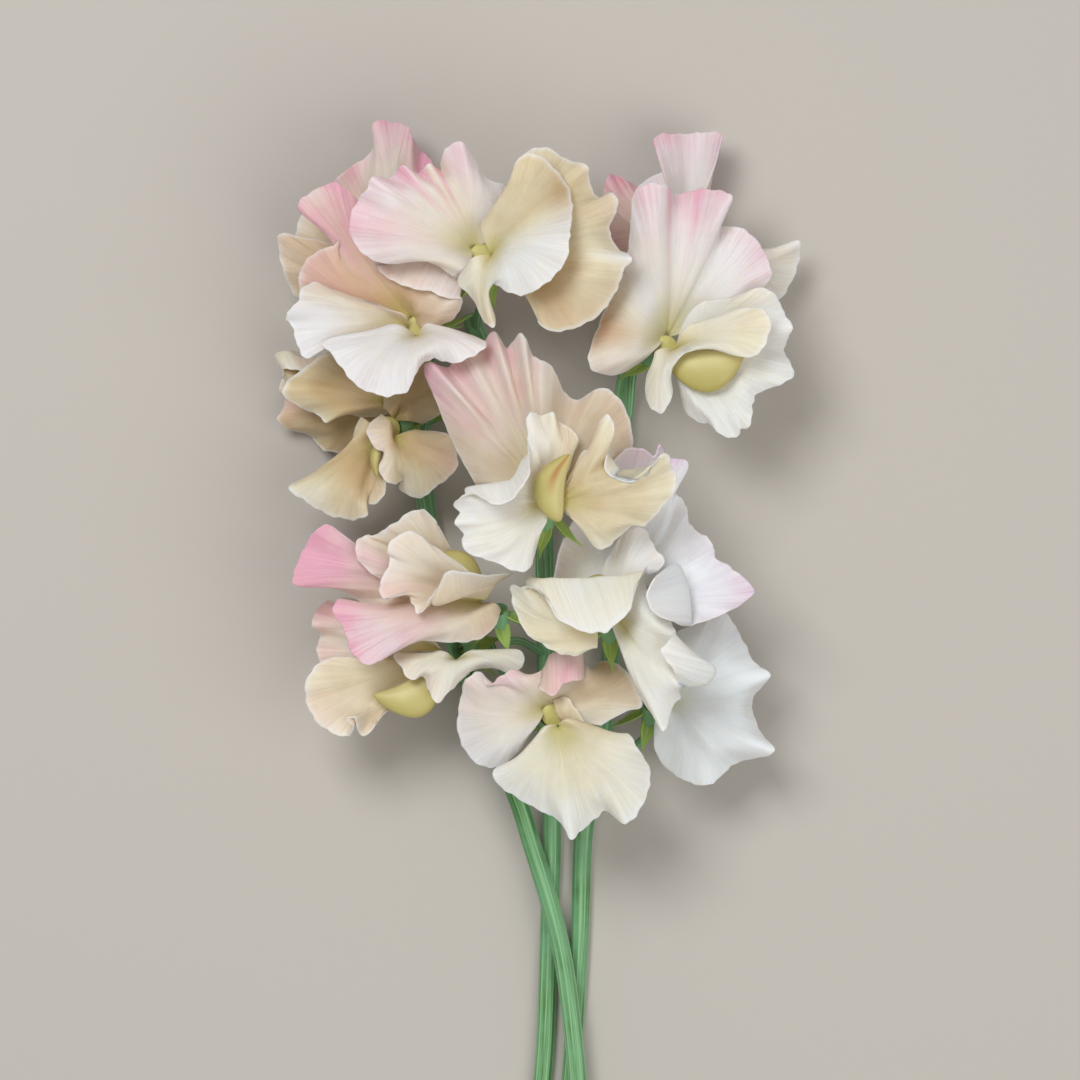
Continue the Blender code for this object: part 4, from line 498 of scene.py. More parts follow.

# Tones of each petal: its warmth, from white at 0 through cream to tan at 1, then its pink. The warmth is
# partly painted:
# tan is painted shade where a petal lies under others or turns from the light, and negative spots are painted
# light on lit bands. Each is its own strength (the pink's at the rim), then spots: place across the petal,
# width, strength, where it starts between claw and rim
TONES = {
    "bloom_01": {
        "standard": (
            (0.42, (0.1, 0.12, 0.25, 0)),
            (
                0.34, (0.06, 0.1, 0.9, 0.2), (0.24, 0.05, 0.5, 0.5), (0.48, 0.1, 0.95, 0.68),
                (0.64, 0.04, 0.6, 0.4), (0.82, 0.12, 1.1, 0.2))),
        "wing_back": ((0.74, (0.1, 0.2, 0.2, 0)), (0.1,)),
        "wing_front": ((0.94, (0.5, 0.2, -0.1, 0.5)), (0.06, (0.5, 0.15, 0.15, 0.7))),
    },
    "bloom_02": {
        "standard": (
            (0.2, (0.62, 0.12, 0.4, 0), (0.05, 0.06, 0.4, 0), (0.9, 0.08, -0.2, 0)),
            (
                0.12, (0.27, 0.08, 0.6, 0.35), (0.2, 0.06, 0.3, 0), (0.41, 0.05, 0.6, 0.5),
                (0.49, 0.03, 0.9, 0.2), (0.57, 0.02, 0.9, 0.2), (0.64, 0.02, 0.9, 0.2),
                (0.77, 0.06, 0.7, 0.4))),
        "wing_back": (
            (0.74, (0.25, 0.12, 0.1, 0), (0.6, 0.03, -0.8, 0.7), (0.82, 0.12, 0.26, 0)),
            (0.03, (0.42, 0.06, 0.2, 0.6), (0.78, 0.14, 0.12, 0))),
        "wing_front": (
            (
                0.48, (0.14, 0.12, 0.52, 0), (0.26, 0.05, 0.5, 0), (0.44, 0.12, -0.95, 0.1),
                (0.74, 0.1, 0.3, 0)),
            (0.06, (0.31, 0.03, 0.25, 0.5))),
    },
    "bloom_03": {
        "standard": (
            (0.84, (0.82, 0.1, -0.35, 0.2), (0.15, 0.12, 0.1, 0), (0.36, 0.1, -0.2, 0.3)),
            (
                0.08, (0.34, 0.07, 0.8, 0.15), (0.46, 0.05, 0.9, 0.3), (0.54, 0.06, 0.7, 0.2),
                (0.12, 0.12, 0.3, 0), (0.8, 0.2, 0.22, 0))),
        "wing_back": ((0.55, (0.6, 0.18, -0.7, 0.2), (0.1, 0.15, 0.3, 0)), (0, (0.2, 0.15, 0.15, 0))),
        "wing_front": ((0.14, (0.95, 0.08, 0.15, 0)), (0, (0.25, 0.04, 0.2, 0.7))),
    },
    "bloom_04": {
        "standard": ((1,), (0.05, (0.3, 0.12, 0.5, 0.4))),
        "wing_back": ((0.74, (0.45, 0.12, -0.3, 0.5)), (0.06, (0.3, 0.1, 0.4, 0.5))),
        "wing_front": ((1, (0.5, 0.12, -0.3, 0.5)), (0,)),
    },
    "bloom_05": {
        "standard": ((1,), (0.2,)),
        "wing_back": ((0.86, (0.45, 0.1, -0.3, 0.5)), (0.05, (0.85, 0.12, 0.2, 0.5))),
        "wing_front": (
            (0.9, (0.2, 0.2, -0.5, 0.2), (0.6, 0.08, -0.3, 0.5)),
            (0.08, (0.2, 0.16, 0.45, 0.3), (0.8, 0.12, 0.3, 0.2))),
    },
    "bloom_06": {
        "standard": (
            (0.5, (0.05, 0.08, 0.3, 0), (0.85, 0.16, 0.36, 0)),
            (
                0.12, (0.12, 0.04, 0.6, 0.1), (0.2, 0.07, 0.55, 0.2), (0.27, 0.035, 0.5, 0.1),
                (0.37, 0.03, 0.5, 0.1), (0.46, 0.03, 0.5, 0.1), (0.56, 0.05, 0.3, 0.2), (0.3, 0.2, 0.12, 0))),
        "wing_back": (
            (0.24, (0.9, 0.12, 0.6, 0), (0.46, 0.12, -0.4, 0.2)),
            (0, (0.88, 0.05, 0.3, 0.4), (0.15, 0.1, 0.1, 0.6))),
        "wing_front": (
            (0.72, (0.6, 0.08, -0.5, 0.6), (0.1, 0.1, -0.2, 0.3)),
            (0, (0.84, 0.035, 0.8, 0.5), (0.95, 0.03, 0.3, 0.3))),
    },
    "bloom_07": {
        "standard": (
            (0.02, (0.03, 0.06, 0.9, 0)),
            (
                0.2, (0.17, 0.07, 0.8, 0.5), (0.31, 0.08, 0.8, 0.5), (0.62, 0.14, 0.3, 0.3),
                (0.71, 0.05, 0.45, 0.5))),
        "wing_back": ((0.2, (0.58, 0.08, -0.4, 0.6), (0.2, 0.15, -0.3, 0)), (0.03, (0.3, 0.05, 0.2, 0.6))),
        "wing_front": ((0.44, (0.75, 0.14, 0.25, 0), (0.25, 0.12, -0.2, 0.5)), (0,)),
    },
    "bloom_08": {
        "standard": (
            (0.6, (0.72, 0.12, -0.5, 0.3), (0.95, 0.1, 0.3, 0)),
            (
                0.18, (0.27, 0.12, 1.15, 0.1), (0.2, 0.1, 0.2, 0), (0.6, 0.08, 0.5, 0.4),
                (0.72, 0.1, 0.9, 0.15))),
        "wing_back": ((0.58,), (0.06, (0.76, 0.07, 0.6, 0.4))),
        "wing_front": ((0.62, (0.35, 0.1, -0.25, 0.5)), (0.03, (0.46, 0.06, 0.35, 0.5))),
    },
    "bloom_09": {
        "standard": ((0.5,), (0.15, (0.38, 0.14, 0.8, 0.3), (0.68, 0.12, 0.6, 0.3))),
        "wing_back": (
            (0.74, (0.45, 0.12, -0.25, 0.5)),
            (0.08, (0.35, 0.1, 0.3, 0.4), (0.75, 0.2, 0.15, 0.1))),
        "wing_front": ((0.32, (0.1, 0.1, 0.3, 0)), (0.08, (0.3, 0.1, 0.25, 0.4))),
    },
    "bloom_10": {
        "standard": (
            (0.28, (0.84, 0.12, 0.8, 0), (0.6, 0.12, 0.6, 0), (0.1, 0.12, -0.2, 0.4), (0.3, 0.1, 0.25, 0)),
            (0.05, (0.3, 0.08, 0.25, 0.3), (0.47, 0.09, 0.8, 0.35), (0.66, 0.07, 0.75, 0.1))),
        "wing_back": ((0.7,), (0.05,)),
        "wing_front": ((0.46, (0.92, 0.1, 0.4, 0), (0.4, 0.4, -0.25, 0.5)), (0,)),
    },
    "bloom_11": {
        "standard": ((-0.2,), (0.03, (0.15, 0.1, 0.3, 0.5))),
        "wing_back": ((0.05,), (0,)),
        "wing_front": ((0,), (0,)),
    },
    "bloom_12": {
        "standard": (
            (0.12, (0.2, 0.06, 1.1, 0), (0.08, 0.08, 0.4, 0)),
            (
                0.08, (0.41, 0.05, 0.6, 0.5), (0.49, 0.018, 0.8, 0.2), (0.56, 0.05, 0.6, 0.55),
                (0.66, 0.05, 0.65, 0.5), (0.61, 0.015, 0.6, 0.2), (0.88, 0.07, 0.6, 0.6),
                (0.12, 0.08, 0.15, 0.2))),
        "wing_back": ((0.04, (0.12, 0.1, 0.4, 0)), (0,)),
        "wing_front": (
            (0.46, (0.55, 0.1, -0.4, 0.4), (0.2, 0.1, 0.1, 0), (0.78, 0.14, -0.2, 0.3)),
            (0, (0.18, 0.06, 0.15, 0.4))),
    },
    "bloom_13": {
        "standard": ((0.2,), (0.3, (0.35, 0.1, 0.8, 0.4), (0.55, 0.12, 0.55, 0.4), (0.8, 0.1, 0.8, 0.4))),
        "wing_back": ((0.6,), (0.65, (0.5, 0.3, 0.4, 0.2))),
        "wing_front": ((0.4,), (0,)),
    },
}


# ---------------------------------------------------------------- small helpers

def as_mesh(bm, name):
    """The bmesh's shape as a mesh, the bmesh closed."""
    mesh = bpy.data.meshes.new(name)
    bm.to_mesh(mesh)
    bm.free()
    return mesh


def welded(mesh):
    """A mesh whose sides meet, joined up, its faces turned outward."""
    bm = bmesh.new()
    bm.from_mesh(mesh)
    bmesh.ops.remove_doubles(bm, verts=bm.verts, dist=WELD)
    bmesh.ops.recalc_face_normals(bm, faces=bm.faces)
    bm.to_mesh(mesh)
    bm.free()
    return mesh


def in_scene(name, data):
    """A new object in the scene."""
    made = bpy.data.objects.new(name, data)
    bpy.context.scene.collection.objects.link(made)
    return made


def running(points):
    """The way run along a row of points, from 0 at the first."""
    return np.concatenate([[0], np.cumsum(np.linalg.norm(np.diff(points, axis=0), axis=1))])


def grid_uvs(across, along):
    """UV places of a grid of points, from a row across it and a row along it."""
    return np.stack(np.broadcast_arrays(across[None, :], along[:, None]), axis=-1)


# ---------------------------------------------------------------- the shape of a petal, and the layers

def ring_weights(t):
    """How much each steering ring pulls on the rows at t: a smooth curve through all the rings."""
    rings = np.array(RINGS)
    slopes = np.gradient(np.eye(len(rings)), rings, axis=0)
    first = np.clip(np.searchsorted(rings, t, "right") - 1, 0, len(rings) - 2)
    span = (rings[first + 1] - rings[first])[:, None]
    f = (t[:, None] - rings[first][:, None]) / span
    here, there = np.eye(len(rings))[first], np.eye(len(rings))[first + 1]
    return (
        (2 * f**3 - 3 * f**2 + 1) * here
        + (f**3 - 2 * f**2 + f) * span * slopes[first]
        + (3 * f**2 - 2 * f**3) * there
        + (f**3 - f**2) * span * slopes[first + 1])


def column_weights(s, count):
    """How much each of count points pulls on the columns at s from 0 to 1: a Catmull-Rom curve."""
    place = np.asarray(s) * (count - 1)
    first = np.clip(place.astype(int), 0, count - 2)
    f = place - first
    pulls = (
        -0.5 * f + f**2 - 0.5 * f**3,
        1 - 2.5 * f**2 + 1.5 * f**3,
        0.5 * f + 2 * f**2 - 1.5 * f**3,
        -0.5 * f**2 + 0.5 * f**3,
    )
    padded = np.zeros((len(place), count + 2))
    for step, pull in enumerate(pulls):
        padded[np.arange(len(place)), first + step] += pull
    weights = padded[:, 1:-1].copy()
    weights[:, 0] += 2 * padded[:, 0]
    weights[:, 1] -= padded[:, 0]
    weights[:, -1] += 2 * padded[:, -1]
    weights[:, -2] -= padded[:, -1]
    return weights


def eased(points, passes):
    """The row of points with its wiggles smoothed away, its ends kept."""
    points = points.copy()
    for _ in range(passes):
        points[1:-1] = 0.25 * points[:-2] + 0.5 * points[1:-1] + 0.25 * points[2:]
    return points


def petal_rings(bloom, petal):
    """The petal's steering points, ring by ring from claw to rim, and its mean normal."""
    heart = np.array(BLOOMS[bloom]["heart"], float)
    rim = np.array([point[:3] for point in BLOOMS[bloom][petal]], float) + (0, 0, heart[2])
    heights = TURNED_HEIGHTS if bloom in TURNED_BLOOMS else CLAW_HEIGHTS
    side = (rim - heart)[:, :2].mean(axis=0)
    step = CLAW_STEP * side / np.linalg.norm(side)
    claw = heart + (*step, heights[petal] + CLAW_LIFTS.get(f"{bloom}_{petal}", 0))
    reach = rim - claw
    normal = np.cross(reach[:-1], reach[1:]).sum(axis=0)
    normal /= np.linalg.norm(normal)
    if normal[2] < 0:
        normal = -normal
    folds = {}
    for i, point in enumerate(BLOOMS[bloom][petal]):
        if len(point) == 6:
            folds[i] = np.array(point[3:], float) + (0, 0, heart[2])
            reach[i] = (folds[i] - claw) / RINGS[2]
    mid_passes, outer_passes = PLEATED.get(f"{bloom}_{petal}", SMOOTHING)
    rise = normal * FLAT_BULGES.get(f"{bloom}_{petal}", BULGE)
    middle = claw + RINGS[1] * eased(reach, mid_passes) + rise
    outer = claw + RINGS[2] * eased(reach, outer_passes) + OUTER_BULGE * rise
    for i, fold in folds.items():
        outer[i] = fold
    return np.stack([np.broadcast_to(claw, rim.shape), middle, outer, rim]), normal


def petal_sheet(bloom, petal):
    """The petal as a grid of points, rows from claw to rim, with the weights that can lift it."""
    rings = petal_rings(bloom, petal)[0]
    columns = int(np.clip(rings.shape[1] - 1, *COLUMNS))
    s = np.linspace(0, 1, columns + 1)
    t = np.array(PETAL_ROWS)
    by_ring = ring_weights(t)
    points = np.einsum("tr,sk,rkc->tsc", by_ring, column_weights(s, rings.shape[1]), rings)
    lift = np.einsum("tr,sk->tsrk", by_ring[:, 1:], column_weights(s, LIFT_POINTS))
    rows, columns = points.shape[:2]
    return {
        "points": points.reshape(-1, 3),
        "lift": lift.reshape(rows * columns, -1),
        "reach": np.repeat(t, columns),
        "triangles": grid_triangles(rows, columns),
    }


def grid_triangles(rows, columns):
    """The triangles of a grid of points, two to a square."""
    corner = (np.arange(rows - 1)[:, None] * columns + np.arange(columns - 1)).ravel()
    lower = np.stack([corner, corner + 1, corner + columns + 1], axis=1)
    upper = np.stack([corner, corner + columns + 1, corner + columns], axis=1)
    return np.concatenate([lower, upper])


def solid_body(mesh, may_lift):
    """A finished closed mesh, in plan millimetres, as a body for the layering."""
    bm = bmesh.new()
    bm.from_mesh(mesh)
    bmesh.ops.triangulate(bm, faces=bm.faces)
    points = np.array([vert.co[:] for vert in bm.verts])
    triangles = np.array([[vert.index for vert in face.verts] for face in bm.faces])
    bm.free()
    lift = np.ones((len(points), 1)) if may_lift else np.zeros((len(points), 0))
    return {"points": points, "lift": lift, "reach": np.ones(len(points)), "triangles": triangles}


def plan_cover(body):
    """Where the body covers the plan: cell numbers, heights, lift weights and reach at each."""
    cells, heights, lifts, reaches = [], [], [], []
    for triangle in body["triangles"]:
        corners = body["points"][triangle]
        low = np.floor(corners[:, :2].min(axis=0) / CELL).astype(int)
        high = np.ceil(corners[:, :2].max(axis=0) / CELL).astype(int)
        x, y = np.meshgrid(np.arange(low[0], high[0] + 1), np.arange(low[1], high[1] + 1))
        x, y = x.ravel(), y.ravel()
        edge_a = corners[1, :2] - corners[0, :2]
        edge_b = corners[2, :2] - corners[0, :2]
        area = edge_a[0] * edge_b[1] - edge_a[1] * edge_b[0]
        if abs(area) < 1e-6:
            continue
        dx, dy = x * CELL - corners[0, 0], y * CELL - corners[0, 1]
        share_a = (dx * edge_b[1] - dy * edge_b[0]) / area
        share_b = (edge_a[0] * dy - edge_a[1] * dx) / area
        shares = np.stack([1 - share_a - share_b, share_a, share_b], axis=1)
        inside = (shares > -0.02).all(axis=1)
        shares = shares[inside]
        cells.append(x[inside] * CELL_STRIDE + y[inside])
        heights.append(shares @ corners[:, 2])
        lifts.append(shares @ body["lift"][triangle])
        reaches.append(shares @ body["reach"][triangle])
    return [np.concatenate(part) for part in (cells, heights, lifts, reaches)]


def shared_cells(below, above):
    """Index pairs of the two covers' entries that stand over the same cell."""
    order = np.argsort(above[0], kind="stable")
    start = np.searchsorted(above[0][order], below[0], "left")
    stop = np.searchsorted(above[0][order], below[0], "right")
    count = stop - start
    first = np.repeat(np.arange(len(below[0])), count)
    offset = np.arange(count.sum()) - np.repeat(np.cumsum(count) - count, count)
    return first, order[np.repeat(start, count) + offset]


def nudge(lift, needs):
    """The smallest smooth change of the lift points that gives each entry the height it needs."""
    square = lift.T @ lift + LIFT_STIFFNESS * np.eye(lift.shape[1])
    return np.linalg.solve(square, lift.T @ needs)


def settle(bodies, stems):
    """Ease the petals up and down until each clears the ones that it passes over or under."""
    names = list(bodies)
    covers = {name: plan_cover(body) for name, body in {**bodies, **stems}.items()}
    moves = {name: np.zeros(covers[name][2].shape[1]) for name in covers}
    meetings = []
    for i, name in enumerate(names):
        for other in names[i + 1:]:
            lower, upper = shared_cells(covers[name], covers[other])
            if not len(lower):
                continue
            if (name, other) in LAPPED:
                over = covers[name][1][lower] > covers[other][1][upper]
                meetings.append((name, other, lower[~over], upper[~over]))
                meetings.append((other, name, upper[over], lower[over]))
            else:
                meetings.append((name, other, lower, upper))
        for other in stems:
            own, stem = shared_cells(covers[name], covers[other])
            if len(own):
                over = np.median(covers[name][1][own] - covers[other][1][stem]) > 0
                meetings.append((other, name, stem, own) if over else (name, other, own, stem))
    for _ in range(SWEEPS):
        worst = 0.0
        for lower, upper, i, j in meetings:
            low, high = covers[lower], covers[upper]
            reach = np.minimum(low[3][i], high[3][j])
            gap = LAYER_GAP * np.clip(reach / CLAW_REACH, CLAW_GAP_SHARE, 1.0)
            short = gap - (high[1][j] + high[2][j] @ moves[upper]) + (low[1][i] + low[2][i] @ moves[lower])
            tight = short > CLOSE_ENOUGH[0]
            if not tight.any():
                continue
            worst = max(worst, short[tight].max())
            i, j, short = i[tight], j[tight], short[tight]
            if moves[lower].size and moves[upper].size:
                short = short * 0.5
            if moves[lower].size:
                moves[lower] += nudge(low[2][i], -short)
            if moves[upper].size:
                moves[upper] += nudge(high[2][j], short)
        for name in names:
            cover = covers[name]
            sunk = TABLE_GAP - (cover[1] + cover[2] @ moves[name])
            low = sunk > CLOSE_ENOUGH[0] / 2
            if low.any():
                moves[name] += nudge(cover[2][low], sunk[low])
        if worst < CLOSE_ENOUGH[1]:
            break
    return moves


def keel_frame(keel):
    """The keel's base, the way to its tip, and the ways that it bulges and that it is wide."""
    base, tip = Vector(keel[0]), Vector(keel[1])
    along = tip - base
    across = Vector((along.y, -along.x, 0)).normalized()
    return base, along, across, along.cross(across).normalized()


def keel_mesh(name, heart, keel):
    """The keel: a ball drawn out into a curved, flattened boat from base to tip."""
    base, along, across, out = keel_frame(keel)
    depth = keel[2]
    bm = bmesh.new()
    bmesh.ops.create_uvsphere(bm, u_segments=KEEL_FACES[0], v_segments=KEEL_FACES[1], radius=1)
    for vert in bm.verts:
        x, y, z = vert.co
        place = (z + 1) / 2
        belly = depth * (KEEL_BELLY * (1 - z * z) + KEEL_ROUND * x)
        centre = Vector((0, 0, heart[2])) + base + along * place
        vert.co = centre + across * belly + out * (KEEL_WIDTH / 2 * y)
    bm.normal_update()
    bmesh.ops.recalc_face_normals(bm, faces=bm.faces)
    return as_mesh(bm, name)


def tube_mesh(name, route, radius, samples):
    """A round tube along a smooth curve through the route's points, its ends closed."""
    places = np.linspace(0, 1, samples)
    points = column_weights(places, len(route)) @ np.array(route, float)
    curve = bpy.data.curves.new(name, "CURVE")
    curve.dimensions = "3D"
    curve.bevel_depth = radius
    curve.bevel_resolution = 1
    curve.use_fill_caps = True
    spline = curve.splines.new("POLY")
    spline.points.add(samples - 1)
    for knot, point in zip(spline.points, points):
        knot.co = (*point, 1)
    source = in_scene(name, curve)
    bpy.context.view_layer.update()
    shape = source.evaluated_get(bpy.context.evaluated_depsgraph_get())
    mesh = bpy.data.meshes.new_from_object(shape)
    bpy.data.objects.remove(source)
    return welded(mesh)


def calyx_frame(bloom):
    """The calyx's mouth and the way it points back from the petals."""
    heart = Vector(BLOOMS[bloom]["heart"])
    turn, dip = radians(BLOOMS[bloom]["calyx"]), radians(CALYX_DIP)
    back = Vector((cos(turn) * cos(dip), sin(turn) * cos(dip), -sin(dip)))
    mouth = heart + Vector((cos(turn), sin(turn), 0)) * CALYX_BACK - Vector((0, 0, CALYX_BELOW))
    return mouth, back


def sepal_ways(mouth, back):
    """For each sepal of a calyx: its root, the way it points, and the way out from the calyx's line."""
    side = Vector((-back.y, back.x, 0)).normalized()
    over = side.cross(back)
    for i in range(SEPAL_COUNT):
        angle = 2 * pi * i / SEPAL_COUNT + pi / 2
        outward = side * cos(angle) - over * (SEPAL_FLATNESS * sin(angle))
        way = (back * SEPAL_SPREAD[0] + outward * SEPAL_SPREAD[1]).normalized()
        yield mouth + back * SEPAL_ROOT[0] + outward * (CALYX_MOUTH_RADIUS * SEPAL_ROOT[1]), way, outward


def calyx_pieces(bloom):
    """The calyx bell and its pointed sepals, each a closed mesh that runs into the bell."""
    mouth, back = calyx_frame(bloom)
    turn = back.to_track_quat("Z", "Y").to_matrix().to_4x4()
    bm = bmesh.new()
    bmesh.ops.create_cone(
        bm, cap_ends=True, segments=CALYX_SIDES, radius1=CALYX_MOUTH_RADIUS,
        radius2=CALYX_FOOT_RADIUS, depth=CALYX_LENGTH,
        matrix=Matrix.Translation((mouth + back * CALYX_LENGTH / 2)) @ turn)
    meshes = [as_mesh(bm, bloom)]
    for root, way, outward in sepal_ways(mouth, back):
        across = way.cross(outward).normalized()
        turn = Matrix((across, way.cross(across), way)).transposed().to_4x4()
        bm = bmesh.new()
        bmesh.ops.create_cone(
            bm, cap_ends=True, segments=6, radius1=MM, radius2=SEPAL_TIP, depth=SEPAL_LENGTH,
            matrix=Matrix.Translation((root + way * SEPAL_LENGTH / 2))
            @ turn @ Matrix.Diagonal((*SEPAL_HALF_SIZE, 1, 1)))
        meshes.append(as_mesh(bm, bloom))
    return meshes


def stalk_route(route, mouth, back):
    """A bloom's stalk, from the stem to the point inside its calyx's foot."""
    ahead = mouth + back * (CALYX_LENGTH + STALK_OVERLAP[1])
    foot = mouth + back * (CALYX_LENGTH - STALK_OVERLAP[0])
    return route + [tuple(ahead), tuple(foot)]


def stem_parts(stem):
    """The separate closed meshes of a stem: its own tube, then each bloom's stalk and calyx."""
    parts = {"": [tube_mesh(stem, STEMS[stem]["route"], STEM_RADIUS, STEM_RINGS)]}
    for bloom, route in STEMS[stem]["stalks"].items():
        stalk = tube_mesh(bloom, stalk_route(route, *calyx_frame(bloom)), STALK_RADIUS, STALK_RINGS)
        parts[bloom] = [stalk] + calyx_pieces(bloom)
    return parts


# ---------------------------------------------------------------- laying out the bunch

def settled_bunch():
    """Every petal's and keel's lift moves, worked out on the part's own coarse pieces."""
    bodies = {}
    for name in LAYERS:
        bloom, part = name[:8], name[9:]
        if part == "keel":
            coarse = keel_mesh(name, BLOOMS[bloom]["heart"], BLOOMS[bloom]["keel"])
            bodies[name] = solid_body(coarse, may_lift=True)
            bpy.data.meshes.remove(coarse)
        else:
            bodies[name] = petal_sheet(bloom, part)
    stems = {}
    for stem in STEMS:
        for bloom, part in stem_parts(stem).items():
            for i, mesh in enumerate(part):
                stems[f"{stem}_{bloom}_{i}"] = solid_body(mesh, may_lift=False)
                bpy.data.meshes.remove(mesh)
    return settle(bodies, stems)


# ---------------------------------------------------------------- making pieces

def finish(name, mesh, material, stands_for=None):
    """Put a mesh that is in plan millimetres into the part's frame, as a piece on the root body."""
    mesh.name = name
    place = Matrix.Scale(MM, 4) @ Matrix.Translation((-PLAN_ORIGIN[0], -PLAN_ORIGIN[1], -TABLE_LEVEL))
    mesh.transform(place)
    mesh.materials.append(material)
    mesh.shade_smooth()
    piece = in_scene(name, mesh)
    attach(piece, "root")
    if stands_for:
        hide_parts(stands_for)
    return piece


def sheet_mesh(name, points, uvs, masks):
    """A grid of faces moved onto rows of points, with its UV map and point masks."""
    rows, columns = points.shape[:2]
    bm = bmesh.new()
    bmesh.ops.create_grid(bm, x_segments=columns - 1, y_segments=rows - 1, size=1)
    for vert, point in zip(bm.verts, points.reshape(-1, 3)):
        vert.co = point
    mesh = as_mesh(bm, name)
    corners = np.zeros(len(mesh.loops), np.int32)
    mesh.loops.foreach_get("vertex_index", corners)
    layer = mesh.uv_layers.new(name="surface")
    layer.data.foreach_set("uv", uvs.reshape(-1, 2)[corners].astype(np.float32).ravel())
    for mask, values in masks.items():
        attribute = mesh.attributes.new(mask, "FLOAT", "POINT")
        attribute.data.foreach_set("value", values.astype(np.float32).ravel())
    return mesh


def tinted(entry, s, t, own_start, own_power):
    """A tint over the petal's grid: its own strength toward the rim, and its spots."""
    own, *spots = entry
    reach = np.clip((t - own_start) / (1 - own_start), 0, 1) ** own_power
    tint = own * np.outer(reach, np.ones(len(s)))
    for place, width, strength, start in spots:
        reach = np.clip((t - start) / (1 - start), 0, 1) ** SPOT_FADE
        tint += strength * np.outer(reach, np.exp(-((s - place) / width) ** 2))
    return tint


def rounded(points, s, t, reach):
    """A petal's grid with the corners of its rim and folds rounded off, its two ends kept."""
    length = np.linalg.norm(np.diff(points[-1], axis=0), axis=1).sum()
    weights = np.exp(-0.5 * ((s[:, None] - s[None, :]) * length / reach) ** 2)
    weights /= weights.sum(axis=1, keepdims=True)
    softer = np.einsum("ij,tjc->tic", weights, points)
    share = np.outer(t, np.clip(np.minimum(s, 1 - s) * length / (3 * reach), 0, 1))
    return points + share[:, :, None] * (softer - points)


def waves(along_rim, length, drift, start):
    """A wave along the rim whose crests crowd and spread a little, as real ones do."""
    return np.sin(2 * pi * along_rim / length + start + drift[0] * np.sin(along_rim / (drift[1] * length)))


def fine_petal(name, moves):
    """A petal on a fine grid: the steered shape, its lifts, and the small ruffles of its rim."""
    bloom, part = name[:8], name[9:]
    rings, normal = petal_rings(bloom, part)
    count = rings.shape[1]
    columns = int(np.clip(count * COLUMNS_PER_POINT, *FINE_COLUMNS))
    s = np.linspace(0, 1, columns + 1)
    t = 1 - (1 - np.linspace(0, 1, FINE_ROWS)) ** ROW_SPREAD
    t = CLAW_START + (1 - CLAW_START) * t
    by_ring = ring_weights(t)
    points = np.einsum("tr,sk,rkc->tsc", by_ring, column_weights(s, count), rings)
    lift = moves.reshape(len(RINGS) - 1, LIFT_POINTS)
    points[:, :, 2] += np.einsum("tr,sk,rk->ts", by_ring[:, 1:], column_weights(s, LIFT_POINTS), lift)
    points = rounded(points, s, t, ROUNDING.get(name, COMMON_ROUNDING))

    along_rim = running(points[-1])
    ends = np.sin(pi * s) ** END_FADE
    phase = np.random.default_rng(LAYERS.index(name)).uniform(0, 2 * pi, len(RUFFLES))
    ruffle = np.zeros((len(t), len(s)))
    for (length, height, depth), start in zip(RUFFLES, phase):
        ruffle += height * np.outer(t ** depth, waves(along_rim, length, RUFFLE_DRIFT, start) * ends)
    points += ruffle[:, :, None] * normal
    outward = points[-1] - points[len(t) // 2]
    outward /= np.linalg.norm(outward, axis=1, keepdims=True)
    for length, depth in SCALLOPS:
        wave = waves(along_rim, length, SCALLOP_DRIFT, phase[0]) * ends
        points += depth * np.outer(t ** SCALLOP_REACH, wave)[:, :, None] * outward

    warmth_and_shading, pink = TONES[bloom][part]
    whole = np.ones(len(s))
    more, less, fall = CLAW_WARMTH_AND_SHADING
    masks = {
        "blush": tinted(pink, s, t, *RIM_PINK),
        # warmth: the cream tone, with painted shade toward tan and painted light toward white
        "warmth_and_shading": tinted(warmth_and_shading, s, t, *OWN_WARMTH_AND_SHADING) + np.outer(more - less * t ** fall, whole),
        "claw": np.outer(np.clip(1 - t / CLAW_TINT[0], 0, 1) ** CLAW_TINT[1], whole),
        # edge: where the painted highlight along the rim lies
        "edge": np.outer(np.clip((t - RIM_HIGHLIGHT[0]) / RIM_HIGHLIGHT[1], 0, 1), whole),
    }
    return sheet_mesh(name, points, grid_uvs(along_rim / UV_SIZE, t), masks)


def thicken(piece, thickness):
    """Give an open sheet its wall."""
    wall = piece.modifiers.new("wall", "SOLIDIFY")
    wall.thickness = thickness * MM
    wall.offset = 0


def fine_tube(name, route, radius, grid, ribs=0.0):
    """A round stem along a smooth curve, with faint ribs along it and closed, rounded ends."""
    samples, sides = grid
    line = column_weights(np.linspace(0, 1, samples), len(route)) @ np.array(route, float)
    ahead = np.gradient(line, axis=0)
    ahead /= np.linalg.norm(ahead, axis=1, keepdims=True)
    side = np.cross(ahead, (0, 0, 1))
    flat = np.linalg.norm(side, axis=1, keepdims=True)
    side = np.where(flat > STEEPEST, side / np.maximum(flat, STEEPEST), (1, 0, 0))
    up = np.cross(side, ahead)
    turn = np.linspace(0, 2 * pi, sides + 1)
    swell = 1 + ribs * np.cos(STEM_RIBS[0] * turn)
    last, middle_step, last_step = CUT_ROUNDING
    size = radius * np.concatenate([[0, last], np.ones(samples), [last, 0]])
    centre, side, up = (np.pad(row, ((2, 2), (0, 0)), "edge") for row in (line, side, up))
    centre[:2] -= np.outer((middle_step, last_step), ahead[0])
    centre[-2:] += np.outer((last_step, middle_step), ahead[-1])
    ring = side[:, None] * np.cos(turn)[None, :, None] + up[:, None] * np.sin(turn)[None, :, None]
    points = centre[:, None] + ring * np.outer(size, swell)[:, :, None]
    masks = {"cut": np.zeros(points.shape[:2]), "rib": np.zeros(points.shape[:2])}
    masks["cut"][:2] = 1
    return welded(sheet_mesh(name, points, grid_uvs(turn / (2 * pi), running(centre) / UV_SIZE), masks))


